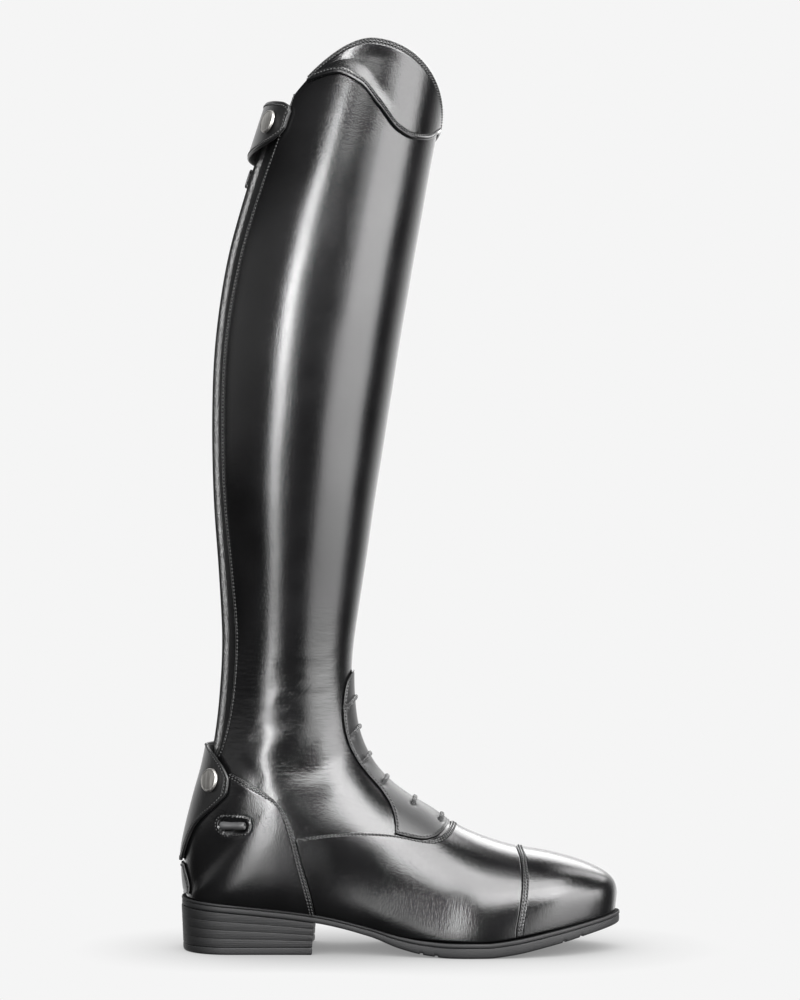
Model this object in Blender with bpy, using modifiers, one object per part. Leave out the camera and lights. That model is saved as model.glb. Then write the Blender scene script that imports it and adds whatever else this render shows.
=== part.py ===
"""Right field boot: a tall black riding boot with a raised top, an elastic and zipped back,
a laced instep, a capped toe, spur rests and a stacked heel.

Sizes are in millimetres and become metres where a mesh is made. In the working frame x runs from the
back of the heel to the toe, y from the outer (lateral, minus) to the inner (medial, plus) side and z up
from the floor. An empty carries every piece, so that the finished boot stands centred on the origin.
"""

import math

import bmesh
import bpy
import numpy as np
from mathutils import Matrix, Vector

MM = 0.001
GAP = 0.4  # play between pieces that lie on each other

# Sole
SOLE_LENGTH = 272.0
HEEL_LENGTH = 83.0
WELT_SHARE = 0.26  # of the sole's thickness
WELT_WIDTH = 9.0
WELT_LEDGE = 0.5  # how far the welt stands out past the outsole
EDGE_BEVEL = 1.2
TREAD_GROOVES = (148.0, 157.0, 236.0, 247.0)
GROOVE_WIDTH = 2.2
GROOVE_DEPTH = 0.9
SOLE_OUTLINE = (  # station along the length, y of the middle, half width
    (0.00, 0.0, 31.0),
    (0.13, 0.0, 31.3),
    (0.30, -1.2, 30.4),
    (0.42, -2.8, 32.0),
    (0.55, -2.4, 39.6),
    (0.66, -1.0, 45.8),
    (0.74, 0.6, 45.6),
    (0.84, 2.2, 40.2),
    (0.93, 3.4, 32.0),
    (1.00, 4.0, 27.0),
)
HEEL_ROUND = 0.115  # share of the length over which the heel's outline closes
TOE_ROUND = 0.17
END_CURVE = 2.2  # exponent of both rounded ends
WELT_TOP = (  # x, height of the welt's upper face: arch and toe spring
    (0.0, 33.0),
    (38.0, 29.9),
    (84.0, 24.6),
    (117.0, 17.3),
    (135.0, 12.3),
    (150.0, 10.0),
    (166.0, 9.0),
    (188.0, 9.0),
    (204.0, 10.7),
    (232.0, 15.8),
    (256.0, 20.2),
    (272.0, 23.2),
)
SOLE_THICK = (  # x, thickness of welt and outsole together: thin shank, full forefoot
    (0.0, 5.2),
    (100.0, 5.2),
    (116.0, 5.6),
    (135.0, 7.4),
    (152.0, 8.6),
    (166.0, 9.0),
    (204.0, 9.0),
    (232.0, 8.5),
    (256.0, 7.6),
    (272.0, 7.2),
)

# Heel
LIFT_COUNT = 4
TOPLIFT_THICK = 4.4
HEEL_TAPER = 0.975  # size of the heel's foot beside its seat
BREAST_CURVE = 3.0
LIFT_GROOVE = 0.5

# Upper
WALL = 2.0
FEATHER_INSET = 5.0  # where the upper meets the welt, in from the sole's ends
FEATHER_SHARE = 0.90  # and across its width
FOOT_SECTIONS = (
    # bottom x, top x, top z, ridge y, half width, widest share, low curve, top curve
    (267.0, 268.4, 33.6, 4.0, 0.0, 0.40, 2.0, 2.0),
    (265.7, 267.4, 38.8, 4.0, 7.4, 0.38, 2.0, 2.1),
    (262.4, 264.8, 42.8, 4.0, 13.2, 0.36, 2.0, 2.2),
    (255.8, 258.6, 47.2, 4.0, 20.2, 0.34, 2.0, 2.3),
    (244.4, 246.0, 52.6, 4.0, 28.8, 0.32, 2.1, 2.3),
    (228.0, 228.2, 57.4, 4.2, 36.8, 0.30, 2.1, 2.2),
    (206.0, 206.4, 61.3, 4.6, 42.0, 0.28, 2.1, 2.1),
    (184.0, 186.6, 67.4, 4.6, 43.2, 0.27, 2.1, 2.0),
    (160.0, 169.6, 75.0, 4.0, 40.8, 0.28, 2.0, 2.0),
    (136.0, 154.0, 85.4, 3.2, 38.8, 0.31, 2.0, 1.95),
    (112.0, 140.0, 94.0, 2.4, 37.2, 0.35, 2.0, 1.95),
    (88.0, 129.0, 102.4, 1.6, 37.0, 0.40, 2.0, 2.0),
    (64.0, 120.6, 111.2, 0.9, 37.4, 0.43, 2.0, 2.0),
    (42.0, 114.6, 120.6, 0.4, 37.6, 0.45, 2.0, 2.0),
    (24.0, 110.4, 130.4, 0.1, 37.4, 0.47, 2.0, 2.0),
    (12.4, 107.8, 140.2, 0.0, 36.8, 0.48, 2.0, 2.0),
    (6.2, 106.6, 149.0, 0.0, 36.2, 0.49, 2.0, 2.0),
)
LEG_SECTIONS = (
    # back x, back z, front x, front z, half width, widest share, low curve, top curve
    (5.0, 33.2, 106.1, 155.0, 35.6, 0.49, 2.0, 2.0),
    (3.6, 46.0, 105.8, 161.0, 35.2, 0.49, 2.0, 2.0),
    (3.8, 60.0, 105.7, 168.0, 34.9, 0.49, 2.0, 2.0),
    (6.8, 76.0, 105.9, 176.0, 34.4, 0.49, 2.0, 2.0),
    (11.4, 94.0, 106.6, 186.0, 33.9, 0.49, 2.0, 2.0),
    (17.0, 114.0, 107.8, 196.5, 33.5, 0.49, 2.0, 2.0),
    (21.0, 136.0, 109.6, 209.0, 33.8, 0.49, 2.0, 2.0),
    (23.6, 162.0, 112.2, 226.0, 35.6, 0.49, 2.0, 2.0),
    (24.8, 192.0, 115.4, 247.0, 38.6, 0.48, 2.0, 2.0),
    (22.8, 232.0, 120.2, 279.0, 43.6, 0.48, 2.05, 2.0),
    (19.5, 280.0, 126.6, 320.0, 49.0, 0.47, 2.1, 2.0),
    (18.6, 330.0, 133.2, 362.0, 52.9, 0.47, 2.1, 2.0),
    (20.6, 376.0, 139.6, 400.0, 54.5, 0.47, 2.1, 2.0),
    (27.5, 424.0, 146.2, 438.0, 54.2, 0.48, 2.05, 2.0),
    (38.5, 466.0, 152.6, 474.0, 52.8, 0.48, 2.0, 2.0),
    (51.0, 505.0, 158.6, 506.0, 51.0, 0.49, 2.0, 2.0),
    (62.5, 540.0, 164.4, 537.0, 49.6, 0.49, 2.0, 2.0),
    (73.0, 572.0, 170.0, 566.0, 48.6, 0.49, 2.0, 2.0),
)
LEG_START = len(FOOT_SECTIONS)
LAST_ROW = LEG_START + len(LEG_SECTIONS) - 1
UPPER_COLUMNS = 24
TRIM_ROW = LEG_START + 13  # rows above this one lean towards the collar's line
EXTRA_ROWS = (6.5, 7.5, 8.5, 9.5, 10.5, 11.5, 12.5, 26.5, 27.5, 28.5, 29.5)  # closer steps, instep and calf
BASE_ROWS = np.sort(np.concatenate((np.arange(0.0, TRIM_ROW + 1.0), EXTRA_ROWS)))
BASE_COLUMNS = np.linspace(0.0, 1.0, UPPER_COLUMNS + 1)

# Collar: heights round the leg, with the raised top on the outer side
COLLAR_MEAN = 516.0
COLLAR_LEAN = 5.0  # the back is higher than the front by twice this
COLLAR_RISE = 40.8
RISE_TURN = -86.0  # where the raised top peaks, in degrees from the shin
RISE_FRONT = 86.0  # how far it reaches to the front and to the back
RISE_BACK = 56.0

# Cuff: lower edge of the raised top's facing
CUFF_EDGE = (  # turn from the shin in degrees, height
    (-128.0, 530.5),
    (-108.0, 534.5),
    (-90.0, 528.5),
    (-73.0, 514.5),
    (-56.0, 501.0),
    (-42.0, 497.0),
    (-28.0, 498.0),
    (-13.0, 502.5),
    (0.0, 505.0),
    (20.0, 500.0),
    (45.0, 482.0),
    (70.0, 466.0),
    (90.0, 464.0),
    (104.0, 484.0),
    (112.0, 509.0),
)
CUFF_THICK = 1.5

# Seams of the foot, drawn as the boot is seen from its outer side
CAP_SEAM = (  # x, z
    (206.4, 63.6),
    (209.2, 56.0),
    (209.9, 46.0),
    (208.6, 33.0),
    (204.6, 11.0),
)
THROAT_SEAM = (  # top edge of the vamp, from the ridge back to the counter
    (166.4, 78.0),
    (163.4, 74.6),
    (157.8, 70.8),
    (150.6, 69.2),
    (142.0, 70.4),
    (130.8, 73.2),
    (110.0, 75.2),
    (90.0, 75.0),
    (71.6, 73.0),
)
COUNTER_SEAM = (  # front edge of the counter, from its top down to the welt
    (33.0, 111.0),
    (43.0, 106.0),
    (57.0, 97.0),
    (66.0, 87.0),
    (71.6, 73.0),
    (76.4, 55.0),
    (81.0, 38.0),
    (84.0, 25.6),
)
COUNTER_CORNER = 4  # row of COUNTER_SEAM where the vamp's top edge meets it
COUNTER_BACK_TOP = 98.0
PANEL_EDGE = (  # lacing panel, from its tip on the shin down to the vamp
    (106.0, 172.5),
    (102.6, 166.5),
    (100.6, 158.0),
    (100.0, 148.0),
    (101.0, 137.0),
    (104.6, 125.0),
    (110.2, 115.0),
    (117.0, 106.6),
    (124.4, 98.2),
    (129.6, 90.0),
    (132.2, 81.0),
    (132.6, 73.4),
)
VAMP_THICK = 1.1
CAP_THICK = 1.6
COUNTER_THICK = 1.6
PANEL_THICK = 1.5
PANEL_LIFT = 0.6  # of panel and vamp, which bridge the hollow of the instep
SEAM_GAP = 0.4
THROAT_GAP = 0.8
THROAT_MARKS = [10, 15, 20, 26]  # places on the throat seam, of 60, that the vamp follows
WELT_EDGE = 0.032  # first column of the overlays, just above the welt

# Laces
LACE_HEIGHTS = (155.5, 137.0, 119.6, 105.0, 91.6, 81.0)  # of the ridge under each bar
LACE_RADIUS = 1.3
LACE_REACH = 0.068  # how far a bar runs to each side of the ridge, as a share of the section
LACE_POINTS = 7

# Back opening, as seen from behind: y of each edge at its foot and at the collar
SLOT_FOOT = 100.0
SLOT_FULL = 119.0
SLOT_LATERAL = (-17.0, -33.0)
SLOT_MEDIAL = (10.5, 18.0)
FACING_Y = ((1.0, 4.8), (2.6, 6.8))  # leather strip between elastic and zip
CHAIN_Y = ((5.6, 9.4), (9.4, 13.8))
CHAIN_TOP = 478.0
TUCK = 3.5  # how far elastic and tape run under the leather
TUCK_DEPTH = 1.6  # and how far below its inner face they lie
ELASTIC_THICK = 1.3
TAPE_THICK = 0.8
FACING_THICK = 1.4
CHAIN_THICK = 1.8

# Closing flaps, as seen from behind: height, outer reach, inner reach
HEEL_FLAP = (
    (54.6, -4.0, 14.5),
    (59.0, -9.0, 14.8),
    (66.0, -12.5, 15.0),
    (76.0, -17.0, 15.2),
    (85.0, -23.5, 15.3),
    (92.0, -28.2, 15.4),
    (99.0, -30.4, 15.5),
    (106.0, -30.0, 15.5),
    (113.0, -27.2, 15.5),
    (119.0, -21.0, 15.4),
    (123.6, -13.0, 15.2),
    (126.2, -5.0, 14.6),
)
FLAP_THICK = 1.8
HEEL_FLAP_LIFT = COUNTER_THICK + 3 * GAP
TOP_FLAP = (  # y across the back, lower edge, upper edge
    (-37.0, 503.0, 513.0),
    (-35.0, 498.5, 517.0),
    (-30.0, 494.5, 519.5),
    (-19.0, 490.5, 521.0),
    (-4.0, 487.5, 521.5),
    (10.0, 486.0, 520.5),
    (24.0, 485.0, 518.0),
    (34.0, 485.0, 515.0),
    (39.0, 488.5, 513.0),
    (42.0, 495.5, 509.0),
)
TOP_FLAP_LIFT = 2.6
TOP_FLAP_THICK = 2.2
HEEL_PATCH = (  # height, half width, as seen from behind
    (34.6, 16.8),
    (40.0, 15.2),
    (46.0, 12.6),
    (53.4, 8.6),
)
PATCH_THICK = 0.9
PATCH_LIFT = COUNTER_THICK + 3 * GAP

# Fittings
SNAP_PROFILE = (  # radius, height above the leather
    (0.0, 2.4),
    (3.4, 2.3),
    (5.7, 1.8),
    (7.0, 0.9),
    (7.3, 0.0),
    (0.0, 0.0),
)
TOP_SNAP = (-26.0, 507.0)  # y, z on the top flap
TOP_SNAP_LIFT = 4.9  # the flap's outer face there
HEEL_SNAP = (-22.5, 105.2)
SPUR_REST_X = 34.6
SPUR_REST_Z = 79.4
SPUR_REST_LENGTH = 16.0
SPUR_REST_RADIUS = 2.3
SPUR_SLOT = (20.0, 9.0)
SLIDER_SIZE = (7.6, 2.2, 9.5)  # across, out, along
SLIDER_Z = 479.0
PULL_SIZE = (5.4, 1.1, 12.0)
PULL_WINDOW = (3.0, 6.0)
PULL_PLAY = 1.0  # from the slider's face to the pull's hinge
PULL_HINGE_UP = 3.4

# Finishes: base colour, roughness, metallic
FINISHES = {
    "leather": ((0.012, 0.012, 0.013), 0.28, 0.0),
    "panel_leather": ((0.020, 0.020, 0.021), 0.42, 0.0),
    "rubber": ((0.022, 0.022, 0.023), 0.5, 0.0),
    "heel": ((0.018, 0.018, 0.019), 0.45, 0.0),
    "insole": ((0.03, 0.028, 0.026), 0.7, 0.0),
    "elastic": ((0.008, 0.008, 0.009), 0.9, 0.0),
    "zip": ((0.015, 0.015, 0.016), 0.35, 0.0),
    "metal": ((0.42, 0.41, 0.40), 0.25, 1.0),
    "lace": ((0.016, 0.016, 0.017), 0.8, 0.0),
}


# Smooth curves through the tables


def hermite(knots, values, slope_after, slope_before, at):
    """Cubic pieces between knots; each leaves with one slope and arrives with the other."""
    low = np.clip(np.searchsorted(knots, at, side="right") - 1, 0, len(knots) - 2)
    step = knots[low + 1] - knots[low]
    t = (at - knots[low]) / step
    if values.ndim > 1:
        t = t[..., None]
        step = step[..., None]
    start = (1 + 2 * t) * (1 - t) ** 2 * values[low] + t * (1 - t) ** 2 * step * slope_after[low]
    end = t**2 * (3 - 2 * t) * values[low + 1] + t**2 * (t - 1) * step * slope_before[low + 1]
    return start + end


def steady(table, column, at):
    """Smooth curve through one column of a table that never swings past its values."""
    knots = np.array([row[0] for row in table])
    values = np.array([row[column] for row in table])
    rise = np.diff(values) / np.diff(knots)
    product = rise[:-1] * rise[1:]
    total = np.where(product > 0, rise[:-1] + rise[1:], 1.0)
    slopes = np.concatenate((rise[:1], np.where(product > 0, 2 * product / total, 0.0), rise[-1:]))
    at = np.clip(np.asarray(at, float), knots[0], knots[-1])
    return hermite(knots, values, slopes, slopes, at)


def through(points, count):
    """A smooth line through a few points, as so many points at even steps of the drawing."""
    points = np.array(points, float)
    length = np.concatenate(((0.0,), np.cumsum(np.linalg.norm(np.diff(points, axis=0), axis=1))))
    slopes = np.gradient(points, length, axis=0)
    return hermite(length, points, slopes, slopes, np.linspace(0.0, length[-1], count))


# Sole


def sole_half(x, inset=0.0):
    """Half width of the sole's outline: the table, closed at both ends by rounded curves."""
    station = np.clip((np.asarray(x, float) - inset) / (SOLE_LENGTH - 2 * inset), 0.0, 1.0)
    heel = np.clip((HEEL_ROUND - station) / HEEL_ROUND, 0.0, 1.0)
    toe = np.clip((station - 1 + TOE_ROUND) / TOE_ROUND, 0.0, 1.0)
    closing = (1 - np.maximum(heel, toe) ** END_CURVE) ** (1 / END_CURVE)
    return steady(SOLE_OUTLINE, 2, station) * closing


def sole_middle(x):
    return steady(SOLE_OUTLINE, 1, np.asarray(x, float) / SOLE_LENGTH)


def welt_top(x):
    return steady(WELT_TOP, 1, x)


def sole_thick(x):
    return steady(SOLE_THICK, 1, x)


def outsole_top(x):
    return welt_top(x) - WELT_SHARE * sole_thick(x) - GAP


def outsole_bottom(x):
    return welt_top(x) - sole_thick(x)


def sole_stations(inset, heel_count, middle_count, toe_count):
    """Places along the sole, closer together where its outline rounds the heel and the toe."""
    heel_end = HEEL_ROUND * SOLE_LENGTH
    toe_start = (1 - TOE_ROUND) * SOLE_LENGTH
    heel_turn = np.linspace(0.0, math.pi / 2, heel_count)
    toe_turn = np.linspace(math.pi / 2, 0.0, toe_count)
    heel = heel_end - (heel_end - inset) * np.cos(heel_turn)
    toe = toe_start + (SOLE_LENGTH - inset - toe_start) * np.cos(toe_turn)
    middle = np.linspace(heel_end, toe_start, middle_count)
    return np.concatenate((heel, middle[1:-1], toe))


# Upper: sections stand in planes that turn from upright at the toe to level at the collar


def section_table():
    """One row per section: low end, high end and shape, with the foot's low ends set on the welt."""
    rows = []
    for bottom_x, top_x, top_z, ridge, half, widest, low, top in FOOT_SECTIONS:
        seat = float(sole_half(bottom_x, FEATHER_INSET)) * FEATHER_SHARE
        middle = float(sole_middle(bottom_x))
        bottom_z = float(welt_top(bottom_x)) + GAP
        rows.append((bottom_x, bottom_z, middle, seat, top_x, top_z, ridge, half, widest, low, top))
    for back_x, back_z, front_x, front_z, half, widest, low, top in LEG_SECTIONS:
        rows.append((back_x, back_z, 0.0, 0.0, front_x, front_z, 0.0, half, widest, low, top))
    return np.array(rows)


SECTIONS = section_table()
SECTION_ROWS = np.arange(float(len(SECTIONS)))
SLOPE_AFTER = np.gradient(SECTIONS, axis=0)
SLOPE_BEFORE = SLOPE_AFTER.copy()
# the low ends turn a sharp corner where the welt gives way to the back of the heel
SLOPE_AFTER[LEG_START, :4] = SECTIONS[LEG_START + 1, :4] - SECTIONS[LEG_START, :4]
SLOPE_BEFORE[LEG_START, :4] = SECTIONS[LEG_START, :4] - SECTIONS[LEG_START - 1, :4]


def quarter_length(a, b):
    """Length of a quarter of an ellipse, near enough to share out the columns."""
    return np.sqrt((a * a + b * b) / 2) * math.pi / 2 + 1e-6


def section_point(row, column):
    """Point of one section of the upper.

    A section rises from its low end to its widest place and on to its high end in two quarters of
    a rounded curve; columns run from the outer low end (0) over the ridge (0.5) to the inner one (1).
    """
    row = np.clip(np.asarray(row, float), 0.0, LAST_ROW)
    column = np.asarray(column, float)
    row, column = np.broadcast_arrays(row, column)
    values = hermite(SECTION_ROWS, SECTIONS, SLOPE_AFTER, SLOPE_BEFORE, row)
    low_x, low_z, middle, seat, top_x, top_z, ridge, half, widest, low, top = np.moveaxis(values, -1, 0)
    height = np.hypot(top_x - low_x, top_z - low_z)
    lower = quarter_length(widest * height, half - seat)
    upper = quarter_length((1 - widest) * height, half)
    split = lower / (lower + upper)
    reach = 1 - np.abs(2 * column - 1)
    below = np.clip(reach / split, 0.0, 1.0) * math.pi / 2
    above = np.clip((reach - split) / (1 - split), 0.0, 1.0) * math.pi / 2
    rise_low = widest * (1 - np.cos(below) ** (2 / low))
    width_low = seat + (half - seat) * np.sin(below) ** (2 / low)
    rise_top = widest + (1 - widest) * np.sin(above) ** (2 / top)
    width_top = half * np.clip(np.cos(above), 0.0, 1.0) ** (2 / top)
    share = np.where(reach < split, rise_low, rise_top)
    width = np.where(reach < split, width_low, width_top)
    side = np.where(column < 0.5, -1.0, 1.0)
    return np.stack(
        (
            low_x + (top_x - low_x) * share,
            middle + (ridge - middle) * share + side * width,
            low_z + (top_z - low_z) * share,
        ),
        axis=-1,
    )


def skin(row, column):
    """Point of the upper's outer face: sections flow together round the ankle as a weighted mean."""
    row, column = np.broadcast_arrays(np.asarray(row, float), np.asarray(column, float))
    inside = np.clip((0.5 - np.abs(column - 0.5)) / 0.06, 0.0, 1.0)
    spread = inside * np.exp(-(((row - LEG_START) / 3.0) ** 2))
    steps = zip((-1.0, -0.5, 0.0, 0.5, 1.0), (1, 2, 3, 2, 1))
    return sum(weight * section_point(row + step * spread, column) for step, weight in steps) / 9.0


def skin_normal(row, column):
    """Outward direction of the upper's face, from small steps along it."""
    row, column = np.broadcast_arrays(np.clip(np.asarray(row, float), 0.15, LAST_ROW), column)
    along = skin(row + 0.02, column) - skin(row - 0.02, column)
    low = np.clip(column - 0.002, 0.0, 1.0)
    high = np.clip(column + 0.002, 0.0, 1.0)
    across = skin(row, high) - skin(row, low)
    normal = np.cross(across, along)
    return normal / np.linalg.norm(normal, axis=-1, keepdims=True)


def lifted(row, column, lift):
    """Points and directions of a layer that lies a given height above the upper's face."""
    direction = skin_normal(row, column)
    seam = (np.asarray(column) < 1e-6) | (np.asarray(column) > 1 - 1e-6)
    edge = (np.asarray(row) < 1e-6) | (seam & (np.asarray(row) >= LEG_START))
    direction = np.where(edge[..., None] & np.array((False, True, False)), 0.0, direction)
    direction = direction / np.linalg.norm(direction, axis=-1, keepdims=True)
    return skin(row, column) + direction * np.asarray(lift)[..., None], direction


def find_on_skin(targets, axes, first_row, last_row, last_column):
    """Rows and columns of the upper's outer side at points drawn in one view, by damped steps."""
    targets = np.asarray(targets, float).reshape(-1, 2)
    rows = np.linspace(first_row, last_row, 260)
    columns = np.linspace(0.0, last_column, 80)
    grid_rows, grid_columns = (a.ravel() for a in np.meshgrid(rows, columns, indexing="ij"))
    known = skin(grid_rows, grid_columns)[:, axes]
    nearest = np.array([np.argmin(((known - target) ** 2).sum(axis=1)) for target in targets])
    row = grid_rows[nearest]
    column = grid_columns[nearest]
    for _ in range(12):
        miss = targets - skin(row, column)[:, axes]
        by_row = (skin(row + 0.01, column) - skin(row - 0.01, column))[:, axes] / 0.02
        low = np.clip(column - 0.001, 0.0, 0.5)
        high = np.clip(column + 0.001, 0.0, 0.5)
        by_column = (skin(row, high) - skin(row, low))[:, axes] / (high - low)[:, None]
        a = (by_row**2).sum(axis=1) + 0.01
        b = (by_row * by_column).sum(axis=1)
        c = (by_column**2).sum(axis=1) + 10.0
        p = (by_row * miss).sum(axis=1)
        q = (by_column * miss).sum(axis=1)
        row = np.clip(row + (c * p - b * q) / (a * c - b * b), first_row, last_row)
        column = np.clip(column + (a * q - b * p) / (a * c - b * b), 0.0, last_column)
    return np.stack((row, column), axis=-1)


def from_side(points):
    """Rows and columns at points seen from the outer side, as x and z."""
    return find_on_skin(points, (0, 2), 0.2, LEG_START + 8.0, 0.5)


def from_behind(y, z):
    """Rows and columns at points seen from behind; inner points mirror the outer side."""
    y, z = np.broadcast_arrays(np.asarray(y, float), np.asarray(z, float))
    targets = np.stack((-np.abs(y), z), axis=-1)
    found = find_on_skin(targets, (1, 2), LEG_START - 6.0, LAST_ROW, 0.27).reshape(y.shape + (2,))
    return found[..., 0], np.where(y > 0, 1 - found[..., 1], found[..., 1])


def ridge_row(heights):
    """Rows at which the ridge of shin and instep has these heights."""
    rows = np.linspace(0.0, LAST_ROW, 1400)
    return np.interp(heights, skin(rows, 0.5)[:, 2], rows)


def within(columns, first, last):
    """The upper's own rows over these columns, held between a first and a last row for each."""
    rows = np.clip(BASE_ROWS[:, None], first[None, :], last[None, :])
    return np.stack((rows, np.broadcast_to(columns, rows.shape)), axis=-1).copy()


def mirrored(area):
    """The same area on the inner side."""
    return np.stack((area[..., 0], 1 - area[..., 1]), axis=-1)


# Collar and back opening


def turn(column):
    """Degrees round the leg from the shin, minus on the outer side."""
    return 360.0 * (np.asarray(column, float) - 0.5)


def collar_height(column):
    """Height of the collar: a gentle lean, and the raised top as a rounded hump."""
    angle = turn(column)
    away = (angle - RISE_TURN) / np.where(angle > RISE_TURN, RISE_FRONT, RISE_BACK)
    hump = np.cos(np.clip(away, -1.0, 1.0) * math.pi / 2)
    return COLLAR_MEAN - COLLAR_LEAN * np.cos(np.radians(angle)) + COLLAR_RISE * hump


def row_at_height(column, height):
    """Row at which each column of the leg reaches a height."""
    rows = np.linspace(LEG_START + 8.0, LAST_ROW, 500)
    column, height = np.broadcast_arrays(np.asarray(column, float), np.asarray(height, float))
    levels = skin(rows[:, None], column.ravel()[None, :])[..., 2]
    found = [np.interp(h, levels[:, i], rows) for i, h in enumerate(height.ravel())]
    return np.array(found).reshape(column.shape)


def back_y(edge, z):
    """Where an edge of the back opening runs, as seen from behind."""
    share = np.clip((np.asarray(z, float) - SLOT_FULL) / (COLLAR_MEAN - SLOT_FULL), 0.0, 1.2)
    return edge[0] + (edge[1] - edge[0]) * np.sqrt(share)


def slot_column(row, edge):
    """Column at which the back opening cuts a section, or the back seam below the opening."""
    columns = np.linspace(0.0, 0.2, 160)
    found = []
    for one_row in row:
        points = skin(one_row, columns)
        opening = np.clip((points[:, 2] - SLOT_FOOT) / (SLOT_FULL - SLOT_FOOT), 0.0, 1.0) ** 0.6
        past = np.abs(points[:, 1]) - np.abs(back_y(edge, points[:, 2])) * opening
        found.append(np.interp(0.0, past, columns) if points[0, 2] > SLOT_FOOT else 0.0)
    return np.array(found)


# Meshes and objects


def start_collections():
    for item in list(bpy.data.objects):
        bpy.data.objects.remove(item, do_unlink=True)
    made = bpy.data.collections.new("field_boot")
    tools = bpy.data.collections.new("cutters")
    for collection in (made, tools):
        bpy.context.scene.collection.children.link(collection)
    return made, tools


def finish(name, look):
    """A material of the piece's own."""
    colour, roughness, metallic = FINISHES[look]
    material = bpy.data.materials.new(name)
    material.use_nodes = True
    shader = material.node_tree.nodes["Principled BSDF"]
    shader.inputs["Base Color"].default_value = (*colour, 1.0)
    shader.inputs["Roughness"].default_value = roughness
    shader.inputs["Metallic"].default_value = metallic
    return material


def add_object(name, data, look):
    piece = bpy.data.objects.new(name, data)
    data.materials.append(finish(name, look))
    BOOT.objects.link(piece)
    piece.parent = ROOT
    return piece


def mesh_from(name, body, outward=False):
    bmesh.ops.remove_doubles(body, verts=body.verts, dist=0.02 * MM)
    bmesh.ops.dissolve_degenerate(body, edges=body.edges, dist=0.01 * MM)
    if outward:
        bmesh.ops.recalc_face_normals(body, faces=body.faces)
    data = bpy.data.meshes.new(name)
    body.to_mesh(data)
    body.free()
    return data


def add_grid(body, points, directions):
    """Pairs of triangles over a grid of points, turned to face along the given directions."""
    rows, columns = points.shape[:2]
    vertices = [[body.verts.new(Vector(p) * MM) for p in line] for line in points]
    across = points[:-1, 1:] - points[:-1, :-1]
    along = points[1:, :-1] - points[:-1, :-1]
    facing = (np.cross(across, along) * directions[:-1, :-1]).sum() > 0
    for r in range(rows - 1):
        for c in range(columns - 1):
            near, far = vertices[r][c], vertices[r + 1][c + 1]
            for third in ((near, vertices[r][c + 1], far), (near, far, vertices[r + 1][c])):
                body.faces.new(third if facing else third[::-1])


def shell(name, areas, lift, thick, look, inward=False):
    """A layer of even thickness over areas of the upper's face, given as rows and columns."""
    body = bmesh.new()
    for area in areas:
        add_grid(body, *lifted(area[..., 0], area[..., 1], np.broadcast_to(lift, area.shape[:2])))
    piece = add_object(name, mesh_from(name, body), look)
    solid = piece.modifiers.new("thickness", "SOLIDIFY")
    solid.thickness = thick * MM
    solid.offset = -1.0 if inward else 1.0
    solid.use_even_offset = True
    solid.use_quality_normals = True
    return piece


def loft(name, rings, look, caps=True, around=False):
    """A solid through closed rings of points; around joins the last ring to the first."""
    body = bmesh.new()
    vertices = [[body.verts.new(Vector(p) * MM) for p in ring] for ring in rings]
    count = len(vertices[0])
    pairs = list(zip(vertices, vertices[1:]))
    if around:
        pairs.append((vertices[-1], vertices[0]))
    for lower, upper in pairs:
        for i in range(count):
            j = (i + 1) % count
            body.faces.new((lower[i], lower[j], upper[j], upper[i]))
    if caps and not around:
        body.faces.new(vertices[0][::-1])
        body.faces.new(vertices[-1])
    return add_object(name, mesh_from(name, body, outward=True), look)


def tube(name, points, radius, look):
    """A round bar along a few points, with closed ends."""
    curve = bpy.data.curves.new(name, "CURVE")
    curve.dimensions = "3D"
    curve.bevel_depth = radius * MM
    curve.bevel_resolution = 1
    curve.use_fill_caps = True
    line = curve.splines.new("POLY")
    line.points.add(len(points) - 1)
    for place, point in zip(line.points, points):
        place.co = (*(Vector(point) * MM), 1.0)
    return add_object(name, curve, look)


def seat_frame(point, outward, upward=(0.0, 0.0, 1.0)):
    """Axes of a fitting on the leather: x across, y out of the surface, z up along it."""
    out = Vector(outward).normalized()
    across = Vector(upward).cross(out).normalized() * -1.0
    up = across.cross(out).normalized()
    axes = Matrix((across, out, up)).transposed().to_4x4()
    return Matrix.Translation(Vector(point) * MM) @ axes


# Pieces of the sole


def make_outsole():
    """Plate with arch and toe spring: a section across it at each station, its lower edge bevelled."""
    stations = sole_stations(0.0, 7, 18, 9)
    edges = [x + side * GROOVE_WIDTH / 2 for x in TREAD_GROOVES for side in (-1.001, -1.0, 1.0, 1.001)]
    stations = np.sort(np.concatenate((stations, edges)))
    rings = []
    for x in stations:
        half = max(float(sole_half(x)) - WELT_LEDGE, 0.0)
        middle = float(sole_middle(x))
        in_groove = any(abs(x - groove) < GROOVE_WIDTH / 2 + 1e-4 for groove in TREAD_GROOVES)
        low = float(outsole_bottom(x)) + (GROOVE_DEPTH if in_groove else 0.0)
        bevel = min(EDGE_BEVEL, half)
        high = float(outsole_top(x))
        rings.append(
            (
                (x, middle - half + bevel, low),
                (x, middle - half, low + bevel),
                (x, middle - half, high),
                (x, middle + half, high),
                (x, middle + half, low + bevel),
                (x, middle + half - bevel, low),
            )
        )
    return loft("outsole", rings, "rubber", caps=False)


def outline_points(stations, inset):
    """Closed line round the sole, in by a distance: outer side heel to toe, inner side back."""
    outer = np.stack((stations, sole_middle(stations) - sole_half(stations)), axis=-1)
    inner = np.stack((stations, sole_middle(stations) + sole_half(stations)), axis=-1)
    line = np.concatenate((outer, inner[-2:0:-1]))
    ahead = np.roll(line, -1, axis=0) - np.roll(line, 1, axis=0)
    normal = np.stack((-ahead[:, 1], ahead[:, 0]), axis=-1)
    return line + inset * normal / np.linalg.norm(normal, axis=1, keepdims=True)


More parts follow.
